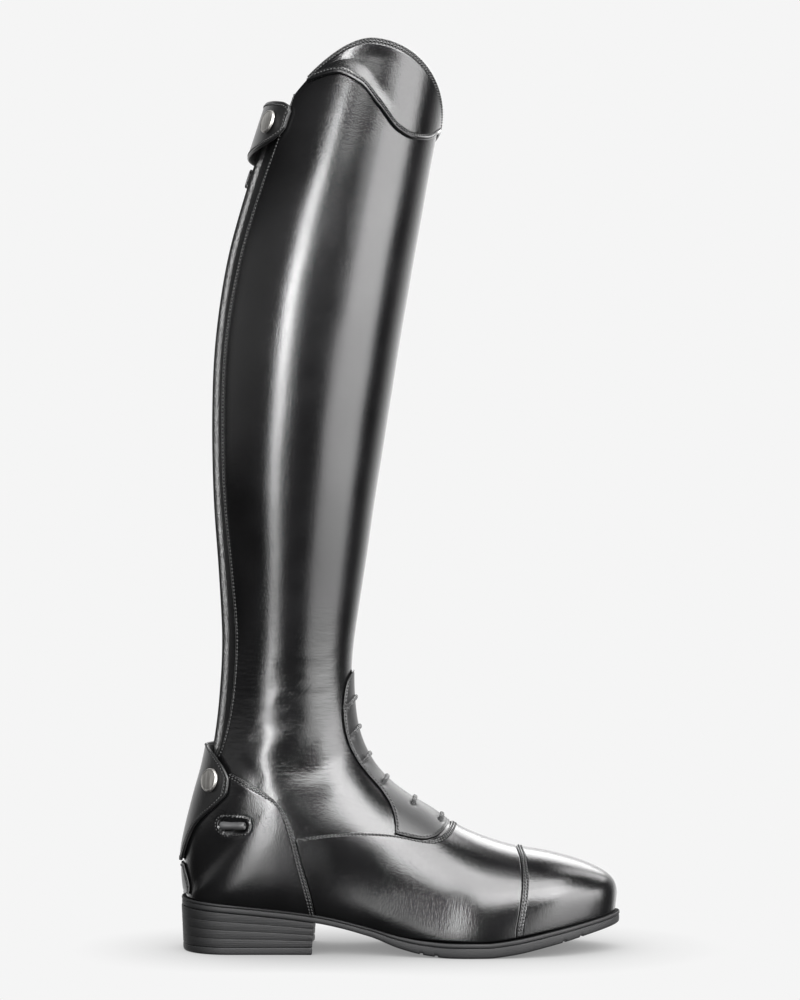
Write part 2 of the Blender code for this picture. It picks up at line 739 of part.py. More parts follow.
def make_welt():
    """Ledge round the sole: a four-cornered profile carried along the outline."""
    stations = sole_stations(0.0, 7, 24, 8)
    outer = outline_points(stations, 0.0)
    inner = outline_points(stations, WELT_WIDTH)
    rings = []
    for (x, y), (inner_x, inner_y) in zip(outer, inner):
        low = float(outsole_top(x)) + GAP
        high = float(welt_top(x))
        inner_low = float(outsole_top(inner_x)) + GAP
        inner_high = float(welt_top(inner_x))
        rings.append(
            ((x, y, low), (x, y, high), (inner_x, inner_y, inner_high), (inner_x, inner_y, inner_low))
        )
    return loft("welt", rings, "rubber", around=True)


def heel_outline():
    """Outline of the heel from above: the sole's back, closed by a slightly hollow breast."""
    turn_back = np.linspace(0.0, math.pi / 2, 6)
    round_end = HEEL_ROUND * SOLE_LENGTH
    back = round_end * (1 - np.cos(turn_back))
    stations = np.concatenate((back, (HEEL_LENGTH * 0.7, HEEL_LENGTH)))
    half = np.maximum(sole_half(stations) - WELT_LEDGE, 0.0)
    outer = np.stack((stations, sole_middle(stations) - half), axis=-1)
    inner = np.stack((stations, sole_middle(stations) + half), axis=-1)
    across = np.linspace(-1.0, 1.0, 5)[1:-1]
    middle = float(sole_middle(HEEL_LENGTH))
    breast = np.stack((HEEL_LENGTH - BREAST_CURVE * (1 - across**2), middle - across * half[-1]), axis=-1)
    return np.concatenate((outer[::-1], inner[1:], breast))


def heel_ring(share, inset):
    """The heel's outline at a share of its height, in by a distance; its lifts slope with the seat."""
    line = heel_outline()
    centre = np.array((HEEL_LENGTH / 2, 0.0))
    size = HEEL_TAPER + (1 - HEEL_TAPER) * share - inset / (HEEL_LENGTH / 2)
    foot = TOPLIFT_THICK + GAP
    seat = outsole_bottom(line[:, 0]) - GAP
    placed = centre + (line - centre) * size
    return np.column_stack((placed, foot + (seat - foot) * share))


def make_heel_stack():
    """Layered heel: straight lifts parted by fine grooves."""
    rings = []
    for lift in range(LIFT_COUNT):
        rings.append(heel_ring(lift / LIFT_COUNT + (0.03 if lift else 0.0), 0.0))
        rings.append(heel_ring((lift + 1) / LIFT_COUNT - (0.03 if lift < LIFT_COUNT - 1 else 0.0), 0.0))
        if lift < LIFT_COUNT - 1:
            rings.append(heel_ring((lift + 1) / LIFT_COUNT, LIFT_GROOVE))
    return loft("heel_stack", rings, "heel")


def make_heel_toplift():
    """Rubber piece under the heel, its lower edge bevelled."""
    rings = []
    for height, inset in ((0.0, 1.2), (1.4, 0.0), (TOPLIFT_THICK, 0.0)):
        ring = heel_ring(0.0, inset)
        ring[:, 2] = height
        rings.append(ring)
    return loft("heel_toplift", rings, "rubber")


def make_insole():
    """Footbed that rests on the welt's inner ledge, clear of the upper's wall."""
    rings = []
    inset = FEATHER_INSET + WALL + 1.8
    for x in sole_stations(inset, 5, 10, 6):
        half = float(sole_half(x, inset)) * (FEATHER_SHARE - 0.085)
        middle = float(sole_middle(x))
        low = float(welt_top(x)) + GAP
        rings.append(
            (
                (x, middle - half, low),
                (x, middle - half, low + 2.4),
                (x, middle + half, low + 2.4),
                (x, middle + half, low),
            )
        )
    return loft("insole", rings, "insole", caps=False)


# Pieces of the upper


def upper_area():
    """Rows and columns of the whole upper, opened along the back and trimmed to the collar."""
    plain = BASE_ROWS
    top_rows = np.linspace(TRIM_ROW, LAST_ROW - 1.6, 5)[1:]
    rows = np.concatenate((plain, top_rows))
    outer = slot_column(rows, SLOT_LATERAL)
    inner = slot_column(rows, SLOT_MEDIAL)
    near_outer = np.clip(1 - BASE_COLUMNS / 0.25, 0.0, 1.0) ** 2
    near_inner = np.clip(1 - (1 - BASE_COLUMNS) / 0.25, 0.0, 1.0) ** 2
    columns = BASE_COLUMNS + outer[:, None] * near_outer - inner[:, None] * near_inner
    area = np.stack((np.broadcast_to(rows[:, None], columns.shape), columns), axis=-1).copy()
    for step, line in enumerate(area[len(plain) :], start=1):
        end = row_at_height(line[:, 1], collar_height(line[:, 1]))
        line[:, 0] = TRIM_ROW + (end - TRIM_ROW) * step / len(top_rows)
    return area


def cap_row(column, shift):
    """Row at which each column meets the toe cap's seam, moved back along the foot."""
    seam = sorted((z, x) for x, z in CAP_SEAM)
    rows = np.linspace(0.5, LEG_START - 4.0, 700)
    points = skin(rows[:, None], np.asarray(column, float)[None, :])
    past = steady(seam, 1, points[..., 2]) - shift - points[..., 0]
    return np.array([np.interp(0.0, past[:, i], rows) for i in range(past.shape[1])])


def seam_on_skin(points, count, on_ridge=False):
    """A seam drawn from the side, as rows and columns; the first point may lie on the ridge."""
    drawn = through(points, count)
    found = from_side(drawn)
    if on_ridge:
        rows = np.linspace(0.0, LAST_ROW, 2000)
        away = np.linalg.norm(skin(rows, 0.5)[:, (0, 2)] - drawn[0], axis=1)
        found[0] = (rows[np.argmin(away)], 0.5)
    return found


def shifted(line, x, z):
    return [(a + x, b + z) for a, b in line]


def make_toe_cap():
    """Cap over the toe, from the tip to its seam."""
    end = cap_row(np.clip(BASE_COLUMNS, 2 * WELT_EDGE, 1 - 2 * WELT_EDGE), 0.0)
    area = within(BASE_COLUMNS, np.zeros(len(BASE_COLUMNS)), end)
    foot = WELT_EDGE * (2.0 + 2.5 * np.clip(1.0 - area[..., 0] / 2.0, 0.0, 1.0))
    area[..., 1] = np.clip(area[..., 1], foot, 1 - foot)
    return shell("toe_cap", [area], GAP, CAP_THICK, "leather")


def row_along(seam, columns):
    """Row of a seam at each column, for a seam that runs steadily up the section."""
    order = np.argsort(seam[:, 1])
    return np.interp(columns, seam[order, 1], seam[order, 0])


def make_vamp():
    """Overlay of the forefoot: each side lies between the cap and the throat and counter seams."""
    throat = seam_on_skin(shifted(THROAT_SEAM, THROAT_GAP, -THROAT_GAP), 60, on_ridge=True)
    rear = from_side(through(shifted(COUNTER_SEAM[COUNTER_CORNER:], SEAM_GAP, 0.0), 30))
    corner = throat[-1, 1]
    marks = np.concatenate((BASE_COLUMNS[BASE_COLUMNS <= 0.5], throat[THROAT_MARKS, 1], (corner,)))
    columns = np.clip(np.sort(marks), WELT_EDGE, 0.5)
    back = row_along(np.concatenate((throat, rear[rear[:, 1] < corner])), columns)
    outer = within(columns, cap_row(columns, SEAM_GAP), back)
    return shell("vamp", [outer, mirrored(outer)[:, ::-1]], PANEL_LIFT, VAMP_THICK, "leather")


def make_counter():
    """Overlay round the heel, with a slot on each side for its spur rest."""
    seam = from_side(through(COUNTER_SEAM, 80))
    tip = np.argmax(seam[:, 1])
    back_rows = np.linspace(LEG_START, LEG_START + 7.0, 200)
    back_top = np.interp(COUNTER_BACK_TOP, skin(back_rows, 0.0)[:, 2], back_rows)
    columns = np.clip(np.append(BASE_COLUMNS[BASE_COLUMNS < seam[tip, 1]], seam[tip, 1]), WELT_EDGE, 0.5)
    front = row_along(seam[tip:], columns)
    top_seam = np.concatenate((seam[: tip + 1], ((back_top, 0.0),)))
    outer = within(columns, front, row_along(top_seam, columns))
    strip = np.array((0.0, WELT_EDGE))
    seam_strip = within(strip, LEG_START + np.array((0.3, 0.0)), row_along(top_seam, strip))
    areas = [outer, mirrored(outer)[:, ::-1], seam_strip, mirrored(seam_strip)[:, ::-1]]
    piece = shell("counter", areas, GAP, COUNTER_THICK, "leather")
    for side in ("lateral", "medial"):
        add_spur_slot(piece, side)
    return piece


def spur_place(side):
    """Row and column under the middle of a spur rest."""
    row, column = from_side([(SPUR_REST_X, SPUR_REST_Z)])[0]
    return row, column if side == "lateral" else 1 - column


def add_spur_slot(piece, side):
    row, column = spur_place(side)
    point, out = lifted(np.array([row]), np.array([column]), np.array([2.0]))
    data = bpy.data.meshes.new(f"spur_slot_{side}")
    body = bmesh.new()
    bmesh.ops.create_cube(body, size=1.0)
    length, height = SPUR_SLOT
    bmesh.ops.scale(body, vec=(length * MM, 12 * MM, height * MM), verts=body.verts)
    body.to_mesh(data)
    body.free()
    cutter = bpy.data.objects.new(f"spur_slot_{side}", data)
    cutter.matrix_world = seat_frame(point[0], out[0])
    cutter.parent = ROOT
    cutter.hide_render = True
    cutter.display_type = "WIRE"
    CUTTERS.objects.link(cutter)
    corners = cutter.modifiers.new("rounded", "BEVEL")
    corners.width = 0.45 * height * MM
    corners.segments = 2
    cut = piece.modifiers.new(f"slot_{side}", "BOOLEAN")
    cut.operation = "DIFFERENCE"
    cut.solver = "EXACT"
    cut.object = cutter


def make_lacing_panel():
    """Duller overlay of the instep: a leaf from the shin down to the vamp's throat."""
    edge = seam_on_skin(PANEL_EDGE, 80, on_ridge=True)
    throat = seam_on_skin(shifted(THROAT_SEAM, 0.0, THROAT_GAP), 120, on_ridge=True)
    throat = throat[throat[:, 0] < edge[-1, 0]]
    outline = np.concatenate((edge, throat[::-1]))[::-1]
    inside = (BASE_ROWS > outline[0, 0]) & (BASE_ROWS < outline[-1, 0])
    crossed = [row_along(line, BASE_COLUMNS[BASE_COLUMNS > edge[-1, 1]]) for line in (edge, throat)]
    rows = np.unique(np.concatenate((BASE_ROWS[inside], edge[-1:, 0], *crossed)))
    side = np.interp(rows, outline[:, 0], outline[:, 1])
    columns = np.clip(BASE_COLUMNS[None, :], side[:, None], 1 - side[:, None])
    area = np.stack((np.broadcast_to(rows[:, None], columns.shape), columns), axis=-1)
    return shell("lacing_panel", [area], PANEL_LIFT, PANEL_THICK, "panel_leather")


def make_spanish_cuff():
    """Facing of the raised top, from its curved lower edge up to the collar."""
    columns = np.linspace(CUFF_EDGE[0][0], CUFF_EDGE[-1][0], 31) / 360.0 + 0.5
    low = row_at_height(columns, steady(CUFF_EDGE, 1, turn(columns)))
    high = row_at_height(columns, collar_height(columns) - 0.3)
    share = np.linspace(0.0, 1.0, 4)[:, None]
    rows = low + (np.maximum(high, low + 0.03) - low) * share
    area = np.stack((rows, np.broadcast_to(columns, rows.shape)), axis=-1)
    return shell("spanish_cuff", [area], GAP, CUFF_THICK, "leather")


# Closing of the back


def back_strip(name, edges, low, high, across, lift, thick, look, inward=False):
    """A strip up the back between two edges seen from behind; high may follow the collar."""
    heights = np.linspace(low, high, 16)
    share = np.linspace(0.0, 1.0, across + 1)
    left, right = (back_y(edge, heights) for edge in edges)
    y = left[:, None] + (right - left)[:, None] * share
    row, column = from_behind(y, np.broadcast_to(heights[:, None], y.shape))
    return shell(name, [np.stack((row, column), axis=-1)], lift, thick, look, inward)


def make_back_closing():
    """Elastic and zip tape tucked under the leather's edges, a leather strip between, the teeth on top."""
    tucked = -WALL - TUCK_DEPTH
    lateral = tuple(y - TUCK for y in SLOT_LATERAL)
    medial = tuple(y + TUCK for y in SLOT_MEDIAL)
    parting = tuple((a + b) / 2 for a, b in FACING_Y)
    elastic_end = tuple(y - GAP / 2 for y in parting)
    tape_start = tuple(y + GAP / 2 for y in parting)
    facing = tuple(zip(*FACING_Y))
    chain = tuple(zip(*CHAIN_Y))
    low = SLOT_FULL + 2.0
    top = COLLAR_MEAN - 1.0
    back_strip("elastic_panel", (lateral, elastic_end), low, top, 4, tucked, ELASTIC_THICK, "elastic", True)
    back_strip("zip_tape", (tape_start, medial), low, top, 3, tucked, TAPE_THICK, "zip", True)
    back_strip("zip_facing", facing, low, top, 1, tucked + GAP, FACING_THICK, "leather")
    back_strip("zip_chain", chain, SLOT_FULL + 2.0, CHAIN_TOP, 1, tucked + GAP, CHAIN_THICK, "zip")


def make_heel_flap():
    """Flap over the zip's foot: a rounded lobe on the outer side, a straight edge on the inner."""
    heights = np.linspace(HEEL_FLAP[0][0], HEEL_FLAP[-1][0], 12)
    share = np.linspace(0.0, 1.0, 9)
    left = steady(HEEL_FLAP, 1, heights)
    right = steady(HEEL_FLAP, 2, heights)
    y = left[:, None] + (right - left)[:, None] * share
    row, column = from_behind(y, np.broadcast_to(heights[:, None], y.shape))
    area = np.stack((row, column), axis=-1)
    return shell("heel_flap", [area], HEEL_FLAP_LIFT, FLAP_THICK, "leather")


def make_top_flap():
    """Strap over the zip's top: it bows out over the slider and lies flat at both ends."""
    across = np.linspace(TOP_FLAP[0][0], TOP_FLAP[-1][0], 17)
    share = np.linspace(0.0, 1.0, 4)[:, None]
    low = steady(TOP_FLAP, 1, across)
    high = steady(TOP_FLAP, 2, across)
    z = low + (high - low) * share
    row, column = from_behind(np.broadcast_to(across, z.shape), z)
    area = np.stack((row, column), axis=-1)
    bow = np.sin(np.linspace(0.0, math.pi, len(across))) ** 0.5
    lift = GAP + (TOP_FLAP_LIFT - GAP) * np.broadcast_to(bow, z.shape)
    return shell("top_flap", [area], lift, TOP_FLAP_THICK, "leather")


def make_heel_patch():
    """Small facing at the foot of the heel's back."""
    heights = np.linspace(HEEL_PATCH[0][0], HEEL_PATCH[-1][0], 5)
    half = steady(HEEL_PATCH, 1, heights)
    y = half[:, None] * np.linspace(-1.0, 1.0, 9)
    row, column = from_behind(y, np.broadcast_to(heights[:, None], y.shape))
    area = np.stack((row, column), axis=-1)
    return shell("heel_patch", [area], PATCH_LIFT, PATCH_THICK, "leather")


# Fittings


def make_snap(name, y, z, lift):
    """Press stud: a low dome turned about its own axis."""
    row, column = from_behind(np.array([y]), np.array([z]))
    point, out = lifted(row, column, np.array([lift]))
    body = bmesh.new()
    corners = [body.verts.new((radius * MM, 0.0, height * MM)) for radius, height in SNAP_PROFILE]
    for a, b in zip(corners, corners[1:]):
        body.edges.new((a, b))
    bmesh.ops.spin(
        body,
        geom=body.verts[:] + body.edges[:],
        cent=(0.0, 0.0, 0.0),
        axis=(0.0, 0.0, 1.0),
        angle=2 * math.pi,
        steps=14,
        use_merge=True,
    )
    piece = add_object(name, mesh_from(name, body, outward=True), "metal")
    stand = seat_frame(point[0], out[0]) @ Matrix.Rotation(-math.pi / 2, 4, "X")
    piece.matrix_world = stand
    return piece


def make_spur_rest(side):
    """Short roll that lies along the heel in its slot."""
    x = SPUR_REST_X + SPUR_REST_LENGTH * np.linspace(-0.5, 0.5, 5)
    place = from_side(np.stack((x, np.full(5, SPUR_REST_Z)), axis=-1))
    if side == "medial":
        place = mirrored(place)
    points, _ = lifted(place[:, 0], place[:, 1], np.full(5, 2 * GAP + SPUR_REST_RADIUS))
    return tube(f"spur_rest_{side}", points, SPUR_REST_RADIUS, "leather")


def make_lace_bars():
    """Straight rungs over the ridge of the instep."""
    lift = PANEL_LIFT + PANEL_THICK + GAP + LACE_RADIUS
    for number, row in enumerate(ridge_row(np.array(LACE_HEIGHTS)), start=1):
        columns = 0.5 + LACE_REACH * np.linspace(-1.0, 1.0, LACE_POINTS)
        points, _ = lifted(np.full(LACE_POINTS, row), columns, np.full(LACE_POINTS, lift))
        tube(f"lace_bar_{number}", points, LACE_RADIUS, "lace")


def zip_seat():
    """Axes of the slider on the teeth."""
    y = sum(float(back_y(edge, SLIDER_Z)) for edge in zip(*CHAIN_Y)) / 2
    row, column = from_behind(np.array([y]), np.array([SLIDER_Z]))
    point, out = lifted(row, column, np.array([CHAIN_THICK - WALL - TUCK_DEPTH + 2 * GAP]))
    below, _ = lifted(row - 0.1, column, np.array([0.0]))
    above, _ = lifted(row + 0.1, column, np.array([0.0]))
    return seat_frame(point[0], out[0], above[0] - below[0])


def make_slider():
    """Zip slider: a block with a lug near its top, drawn from the side and carried across."""
    wide, deep, tall = SLIDER_SIZE
    profile = (
        (0.0, -tall / 2),
        (deep - 0.6, -tall / 2),
        (deep, -tall / 2 + 0.8),
        (deep, tall / 2 - 0.8),
        (deep - 0.6, tall / 2),
        (0.0, tall / 2),
    )
    rings = [[(x, out, up) for out, up in profile] for x in (-wide / 2, wide / 2)]
    piece = loft("zip_slider", rings, "metal")
    piece.matrix_world = zip_seat()
    return piece


def make_pull():
    """Pull tab: a flat bar with a window below its hinge, hanging over the slider."""
    wide, thick, long = PULL_SIZE
    window_wide, window_tall = PULL_WINDOW
    columns = (-wide / 2, -window_wide / 2, window_wide / 2, wide / 2)
    levels = (-long, -1.2 - window_tall, -1.2, 0.6)
    body = bmesh.new()
    corners = [[body.verts.new((x * MM, 0.0, z * MM)) for x in columns] for z in levels]
    for r in range(3):
        for c in range(3):
            if (r, c) != (1, 1):
                body.faces.new((corners[r][c], corners[r][c + 1], corners[r + 1][c + 1], corners[r + 1][c]))
    piece = add_object("zip_pull", mesh_from("zip_pull", body), "metal")
    solid = piece.modifiers.new("thickness", "SOLIDIFY")
    solid.thickness = thick * MM
    solid.offset = 0.0
    hinge = Matrix.Translation((0.0, (SLIDER_SIZE[1] + PULL_PLAY) * MM, PULL_HINGE_UP * MM))
    piece.matrix_world = zip_seat() @ hinge
    return piece


def centre_boot():
    """Move the carrier so that the boot's box stands centred on the origin."""
    bpy.context.view_layer.update()
    graph = bpy.context.evaluated_depsgraph_get()
    corners = []
    for piece in BOOT.objects:
        if piece.type in {"MESH", "CURVE"}:
            shape = piece.evaluated_get(graph)
            data = shape.to_mesh()
            corners.extend(shape.matrix_world @ vertex.co for vertex in data.vertices)
            shape.to_mesh_clear()
    middle = [(min(c[i] for c in corners) + max(c[i] for c in corners)) / 2 for i in (0, 1)]
    ROOT.location = (-middle[0], -middle[1], -min(c[2] for c in corners))


BOOT, CUTTERS = start_collections()
ROOT = bpy.data.objects.new("boot_origin", None)
BOOT.objects.link(ROOT)

make_outsole()
make_welt()
make_heel_stack()
make_heel_toplift()
make_insole()
shell("upper", [upper_area()], 0.0, WALL, "leather", inward=True)
make_toe_cap()
make_vamp()
make_counter()
make_lacing_panel()
make_spanish_cuff()
make_back_closing()
make_heel_flap()
make_top_flap()
make_heel_patch()
make_snap("top_snap", *TOP_SNAP, TOP_SNAP_LIFT)
make_snap("heel_snap", *HEEL_SNAP, HEEL_FLAP_LIFT + FLAP_THICK + 2 * GAP)
make_spur_rest("lateral")
make_spur_rest("medial")
make_lace_bars()
make_slider()
make_pull()
centre_boot()
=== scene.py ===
"""Looks of a right field boot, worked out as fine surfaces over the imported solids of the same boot.

Sizes are in millimetres in the boot's working frame: x runs from the back of the heel to the toe, y from the
outer (minus) to the inner side and z up from the floor. Meshes are moved into the part's own frame and turned
into metres where they are made.
"""

import math

import bpy
import numpy as np
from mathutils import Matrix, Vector


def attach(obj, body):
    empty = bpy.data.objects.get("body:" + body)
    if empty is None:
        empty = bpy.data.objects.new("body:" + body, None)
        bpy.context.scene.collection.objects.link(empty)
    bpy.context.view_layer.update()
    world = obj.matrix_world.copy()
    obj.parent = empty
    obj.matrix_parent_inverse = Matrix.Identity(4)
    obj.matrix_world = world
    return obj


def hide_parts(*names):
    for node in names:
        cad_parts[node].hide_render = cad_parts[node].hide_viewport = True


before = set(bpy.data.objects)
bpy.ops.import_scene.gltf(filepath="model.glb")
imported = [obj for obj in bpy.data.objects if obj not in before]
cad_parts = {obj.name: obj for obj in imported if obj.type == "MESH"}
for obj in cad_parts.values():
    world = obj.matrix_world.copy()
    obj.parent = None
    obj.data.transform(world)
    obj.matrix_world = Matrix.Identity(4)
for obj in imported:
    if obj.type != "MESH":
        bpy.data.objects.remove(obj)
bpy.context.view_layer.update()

MM = 0.001
ORIGIN = np.array((135.42, 0.17, 0.0))  # the part's origin in the working frame
GAP = 0.4

# Sole
SOLE_LENGTH = 272.0
HEEL_LENGTH = 83.0
WELT_SHARE = 0.26  # of the sole's thickness
WELT_WIDTH = 9.0
WELT_LEDGE = 0.5  # how far the welt stands out past the outsole
TREAD_GROOVES = (148.0, 157.0, 236.0, 247.0)
GROOVE_WIDTH = 2.2
GROOVE_DEPTH = 0.9
SOLE_OUTLINE = (  # station along the length, y of the middle, half width
    (0.00, 0.0, 31.0),
    (0.13, 0.0, 31.3),
    (0.30, -1.2, 30.4),
    (0.42, -2.8, 32.0),
    (0.55, -2.4, 39.6),
    (0.66, -1.0, 45.8),
    (0.74, 0.6, 45.6),
    (0.84, 2.2, 40.2),
    (0.93, 3.4, 32.0),
    (1.00, 4.0, 27.0),
)
HEEL_ROUND = 0.115  # share of the length over which the heel's outline closes
TOE_ROUND = 0.17
END_CURVE = 2.2  # exponent of both rounded ends
WELT_TOP = (  # x, height of the welt's upper face: arch and toe spring
    (0.0, 33.0),
    (38.0, 29.9),
    (84.0, 24.6),
    (117.0, 17.3),
    (135.0, 12.3),
    (150.0, 10.0),
    (166.0, 9.0),
    (188.0, 9.0),
    (204.0, 10.7),
    (232.0, 15.8),
    (256.0, 20.2),
    (272.0, 23.2),
)
SOLE_THICK = (  # x, thickness of welt and outsole together: thin shank, full forefoot
    (0.0, 5.2),
    (100.0, 5.2),
    (116.0, 5.6),
    (135.0, 7.4),
    (152.0, 8.6),
    (166.0, 9.0),
    (204.0, 9.0),
    (232.0, 8.5),
    (256.0, 7.6),
    (272.0, 7.2),
)

# Heel
LIFT_COUNT = 4
TOPLIFT_THICK = 4.4
HEEL_TAPER = 0.975  # size of the heel's foot beside its seat
BREAST_CURVE = 3.0
LIFT_GROOVE = 0.5

# Upper
WALL = 2.0
FEATHER_INSET = 5.0  # where the upper meets the welt, in from the sole's ends
FEATHER_SHARE = 0.90  # and across its width
FOOT_SECTIONS = (
    # bottom x, top x, top z, ridge y, half width, widest share, low curve, top curve
    (267.0, 268.4, 33.6, 4.0, 0.0, 0.40, 2.0, 2.0),
    (265.7, 267.4, 38.8, 4.0, 7.4, 0.38, 2.0, 2.1),
    (262.4, 264.8, 42.8, 4.0, 13.2, 0.36, 2.0, 2.2),
    (255.8, 258.6, 47.2, 4.0, 20.2, 0.34, 2.0, 2.3),
    (244.4, 246.0, 52.6, 4.0, 28.8, 0.32, 2.1, 2.3),
    (228.0, 228.2, 57.4, 4.2, 36.8, 0.30, 2.1, 2.2),
    (206.0, 206.4, 61.3, 4.6, 42.0, 0.28, 2.1, 2.1),
    (184.0, 186.6, 67.4, 4.6, 43.2, 0.27, 2.1, 2.0),
    (160.0, 169.6, 75.0, 4.0, 40.8, 0.28, 2.0, 2.0),
    (136.0, 154.0, 85.4, 3.2, 38.8, 0.31, 2.0, 1.95),
    (112.0, 140.0, 94.0, 2.4, 37.2, 0.35, 2.0, 1.95),
    (88.0, 129.0, 102.4, 1.6, 37.0, 0.40, 2.0, 2.0),
    (64.0, 120.6, 111.2, 0.9, 37.4, 0.43, 2.0, 2.0),
    (42.0, 114.6, 120.6, 0.4, 37.6, 0.45, 2.0, 2.0),
    (24.0, 110.4, 130.4, 0.1, 37.4, 0.47, 2.0, 2.0),
    (12.4, 107.8, 140.2, 0.0, 36.8, 0.48, 2.0, 2.0),
    (6.2, 106.6, 149.0, 0.0, 36.2, 0.49, 2.0, 2.0),
)
LEG_SECTIONS = (
    # back x, back z, front x, front z, half width, widest share, low curve, top curve
    (5.0, 33.2, 106.1, 155.0, 35.6, 0.49, 2.0, 2.0),
    (3.6, 46.0, 105.8, 161.0, 35.2, 0.49, 2.0, 2.0),
    (3.8, 60.0, 105.7, 168.0, 34.9, 0.49, 2.0, 2.0),
    (6.8, 76.0, 105.9, 176.0, 34.4, 0.49, 2.0, 2.0),
    (11.4, 94.0, 106.6, 186.0, 33.9, 0.49, 2.0, 2.0),
    (17.0, 114.0, 107.8, 196.5, 33.5, 0.49, 2.0, 2.0),
    (21.0, 136.0, 109.6, 209.0, 33.8, 0.49, 2.0, 2.0),
    (23.6, 162.0, 112.2, 226.0, 35.6, 0.49, 2.0, 2.0),
    (24.8, 192.0, 115.4, 247.0, 38.6, 0.48, 2.0, 2.0),
    (22.8, 232.0, 120.2, 279.0, 43.6, 0.48, 2.05, 2.0),
    (19.5, 280.0, 126.6, 320.0, 49.0, 0.47, 2.1, 2.0),
    (18.6, 330.0, 133.2, 362.0, 52.9, 0.47, 2.1, 2.0),
    (20.6, 376.0, 139.6, 400.0, 54.5, 0.47, 2.1, 2.0),
    (27.5, 424.0, 146.2, 438.0, 54.2, 0.48, 2.05, 2.0),
    (38.5, 466.0, 152.6, 474.0, 52.8, 0.48, 2.0, 2.0),
    (51.0, 505.0, 158.6, 506.0, 51.0, 0.49, 2.0, 2.0),
    (62.5, 540.0, 164.4, 537.0, 49.6, 0.49, 2.0, 2.0),
    (73.0, 572.0, 170.0, 566.0, 48.6, 0.49, 2.0, 2.0),
)
LEG_START = len(FOOT_SECTIONS)
LAST_ROW = LEG_START + len(LEG_SECTIONS) - 1
TRIM_ROW = LEG_START + 13  # rows above this one lean towards the collar's line

# Collar: heights round the leg, with the raised top on the outer side
COLLAR_MEAN = 516.0
COLLAR_LEAN = 5.0  # the back is higher than the front by twice this
COLLAR_RISE = 40.8
RISE_TURN = -86.0  # where the raised top peaks, in degrees from the shin
RISE_FRONT = 86.0  # how far it reaches to the front and to the back
RISE_BACK = 56.0

# Cuff: lower edge of the raised top's facing
CUFF_EDGE = (  # turn from the shin in degrees, height
    (-128.0, 530.5),
    (-108.0, 534.5),
    (-90.0, 528.5),
    (-73.0, 514.5),
    (-56.0, 501.0),
    (-42.0, 497.0),
    (-28.0, 498.0),
    (-13.0, 502.5),
    (0.0, 505.0),
    (20.0, 500.0),
    (45.0, 482.0),
    (70.0, 466.0),
    (90.0, 464.0),
    (104.0, 484.0),
    (112.0, 509.0),
)
CUFF_THICK = 1.5

# Seams of the foot, drawn as the boot is seen from its outer side
CAP_SEAM = (  # x, z
    (206.4, 63.6),
    (209.2, 56.0),
    (209.9, 46.0),
    (208.6, 33.0),
    (204.6, 11.0),
)
THROAT_SEAM = (  # top edge of the vamp, from the ridge back to the counter
    (166.4, 78.0),
    (163.4, 74.6),
    (157.8, 70.8),
    (150.6, 69.2),
    (142.0, 70.4),
    (130.8, 73.2),
    (110.0, 75.2),
    (90.0, 75.0),
    (71.6, 73.0),
)
COUNTER_SEAM = (  # front edge of the counter, from its top down to the welt
    (33.0, 111.0),
    (43.0, 106.0),
    (57.0, 97.0),
    (66.0, 87.0),
    (71.6, 73.0),
    (76.4, 55.0),
    (81.0, 38.0),
    (84.0, 25.6),
)
COUNTER_CORNER = 4  # row of COUNTER_SEAM where the vamp's top edge meets it
COUNTER_BACK_TOP = 98.0
PANEL_EDGE = (  # lacing panel, from its tip on the shin down to the vamp
    (106.0, 172.5),
    (102.6, 166.5),
    (100.6, 158.0),
    (100.0, 148.0),
    (101.0, 137.0),
    (104.6, 125.0),
    (110.2, 115.0),
    (117.0, 106.6),
    (124.4, 98.2),
    (129.6, 90.0),
    (132.2, 81.0),
    (132.6, 73.4),
)
VAMP_THICK = 1.1
CAP_THICK = 1.6
COUNTER_THICK = 1.6
PANEL_LIFT = 0.6  # of panel and vamp, which bridge the hollow of the instep
SEAM_GAP = 0.4
THROAT_GAP = 0.8
WELT_EDGE = 0.032  # first column of the overlays, just above the welt

# Laces
LACE_HEIGHTS = (155.5, 137.0, 119.6, 105.0, 91.6, 81.0)  # of the ridge under each bar
LACE_RADIUS = 1.3
LACE_REACH = 0.068  # how far a bar runs to each side of the ridge, as a share of the section
LACE_FLAT = 0.68  # height of a cord beside its width

# Back opening, as seen from behind: y of each edge at its foot and at the collar
SLOT_FOOT = 100.0
SLOT_FULL = 119.0
SLOT_LATERAL = (-17.0, -33.0)
SLOT_MEDIAL = (10.5, 18.0)
FACING_Y = ((1.0, 4.8), (2.6, 6.8))  # leather strip between elastic and zip
CHAIN_Y = ((5.6, 9.4), (9.4, 13.8))
CHAIN_TOP = 478.0
TUCK = 3.5  # how far elastic and tape run under the leather
TUCK_DEPTH = 1.6  # and how far below its inner face they lie
ELASTIC_THICK = 1.3
TAPE_THICK = 0.8
CHAIN_THICK = 1.8

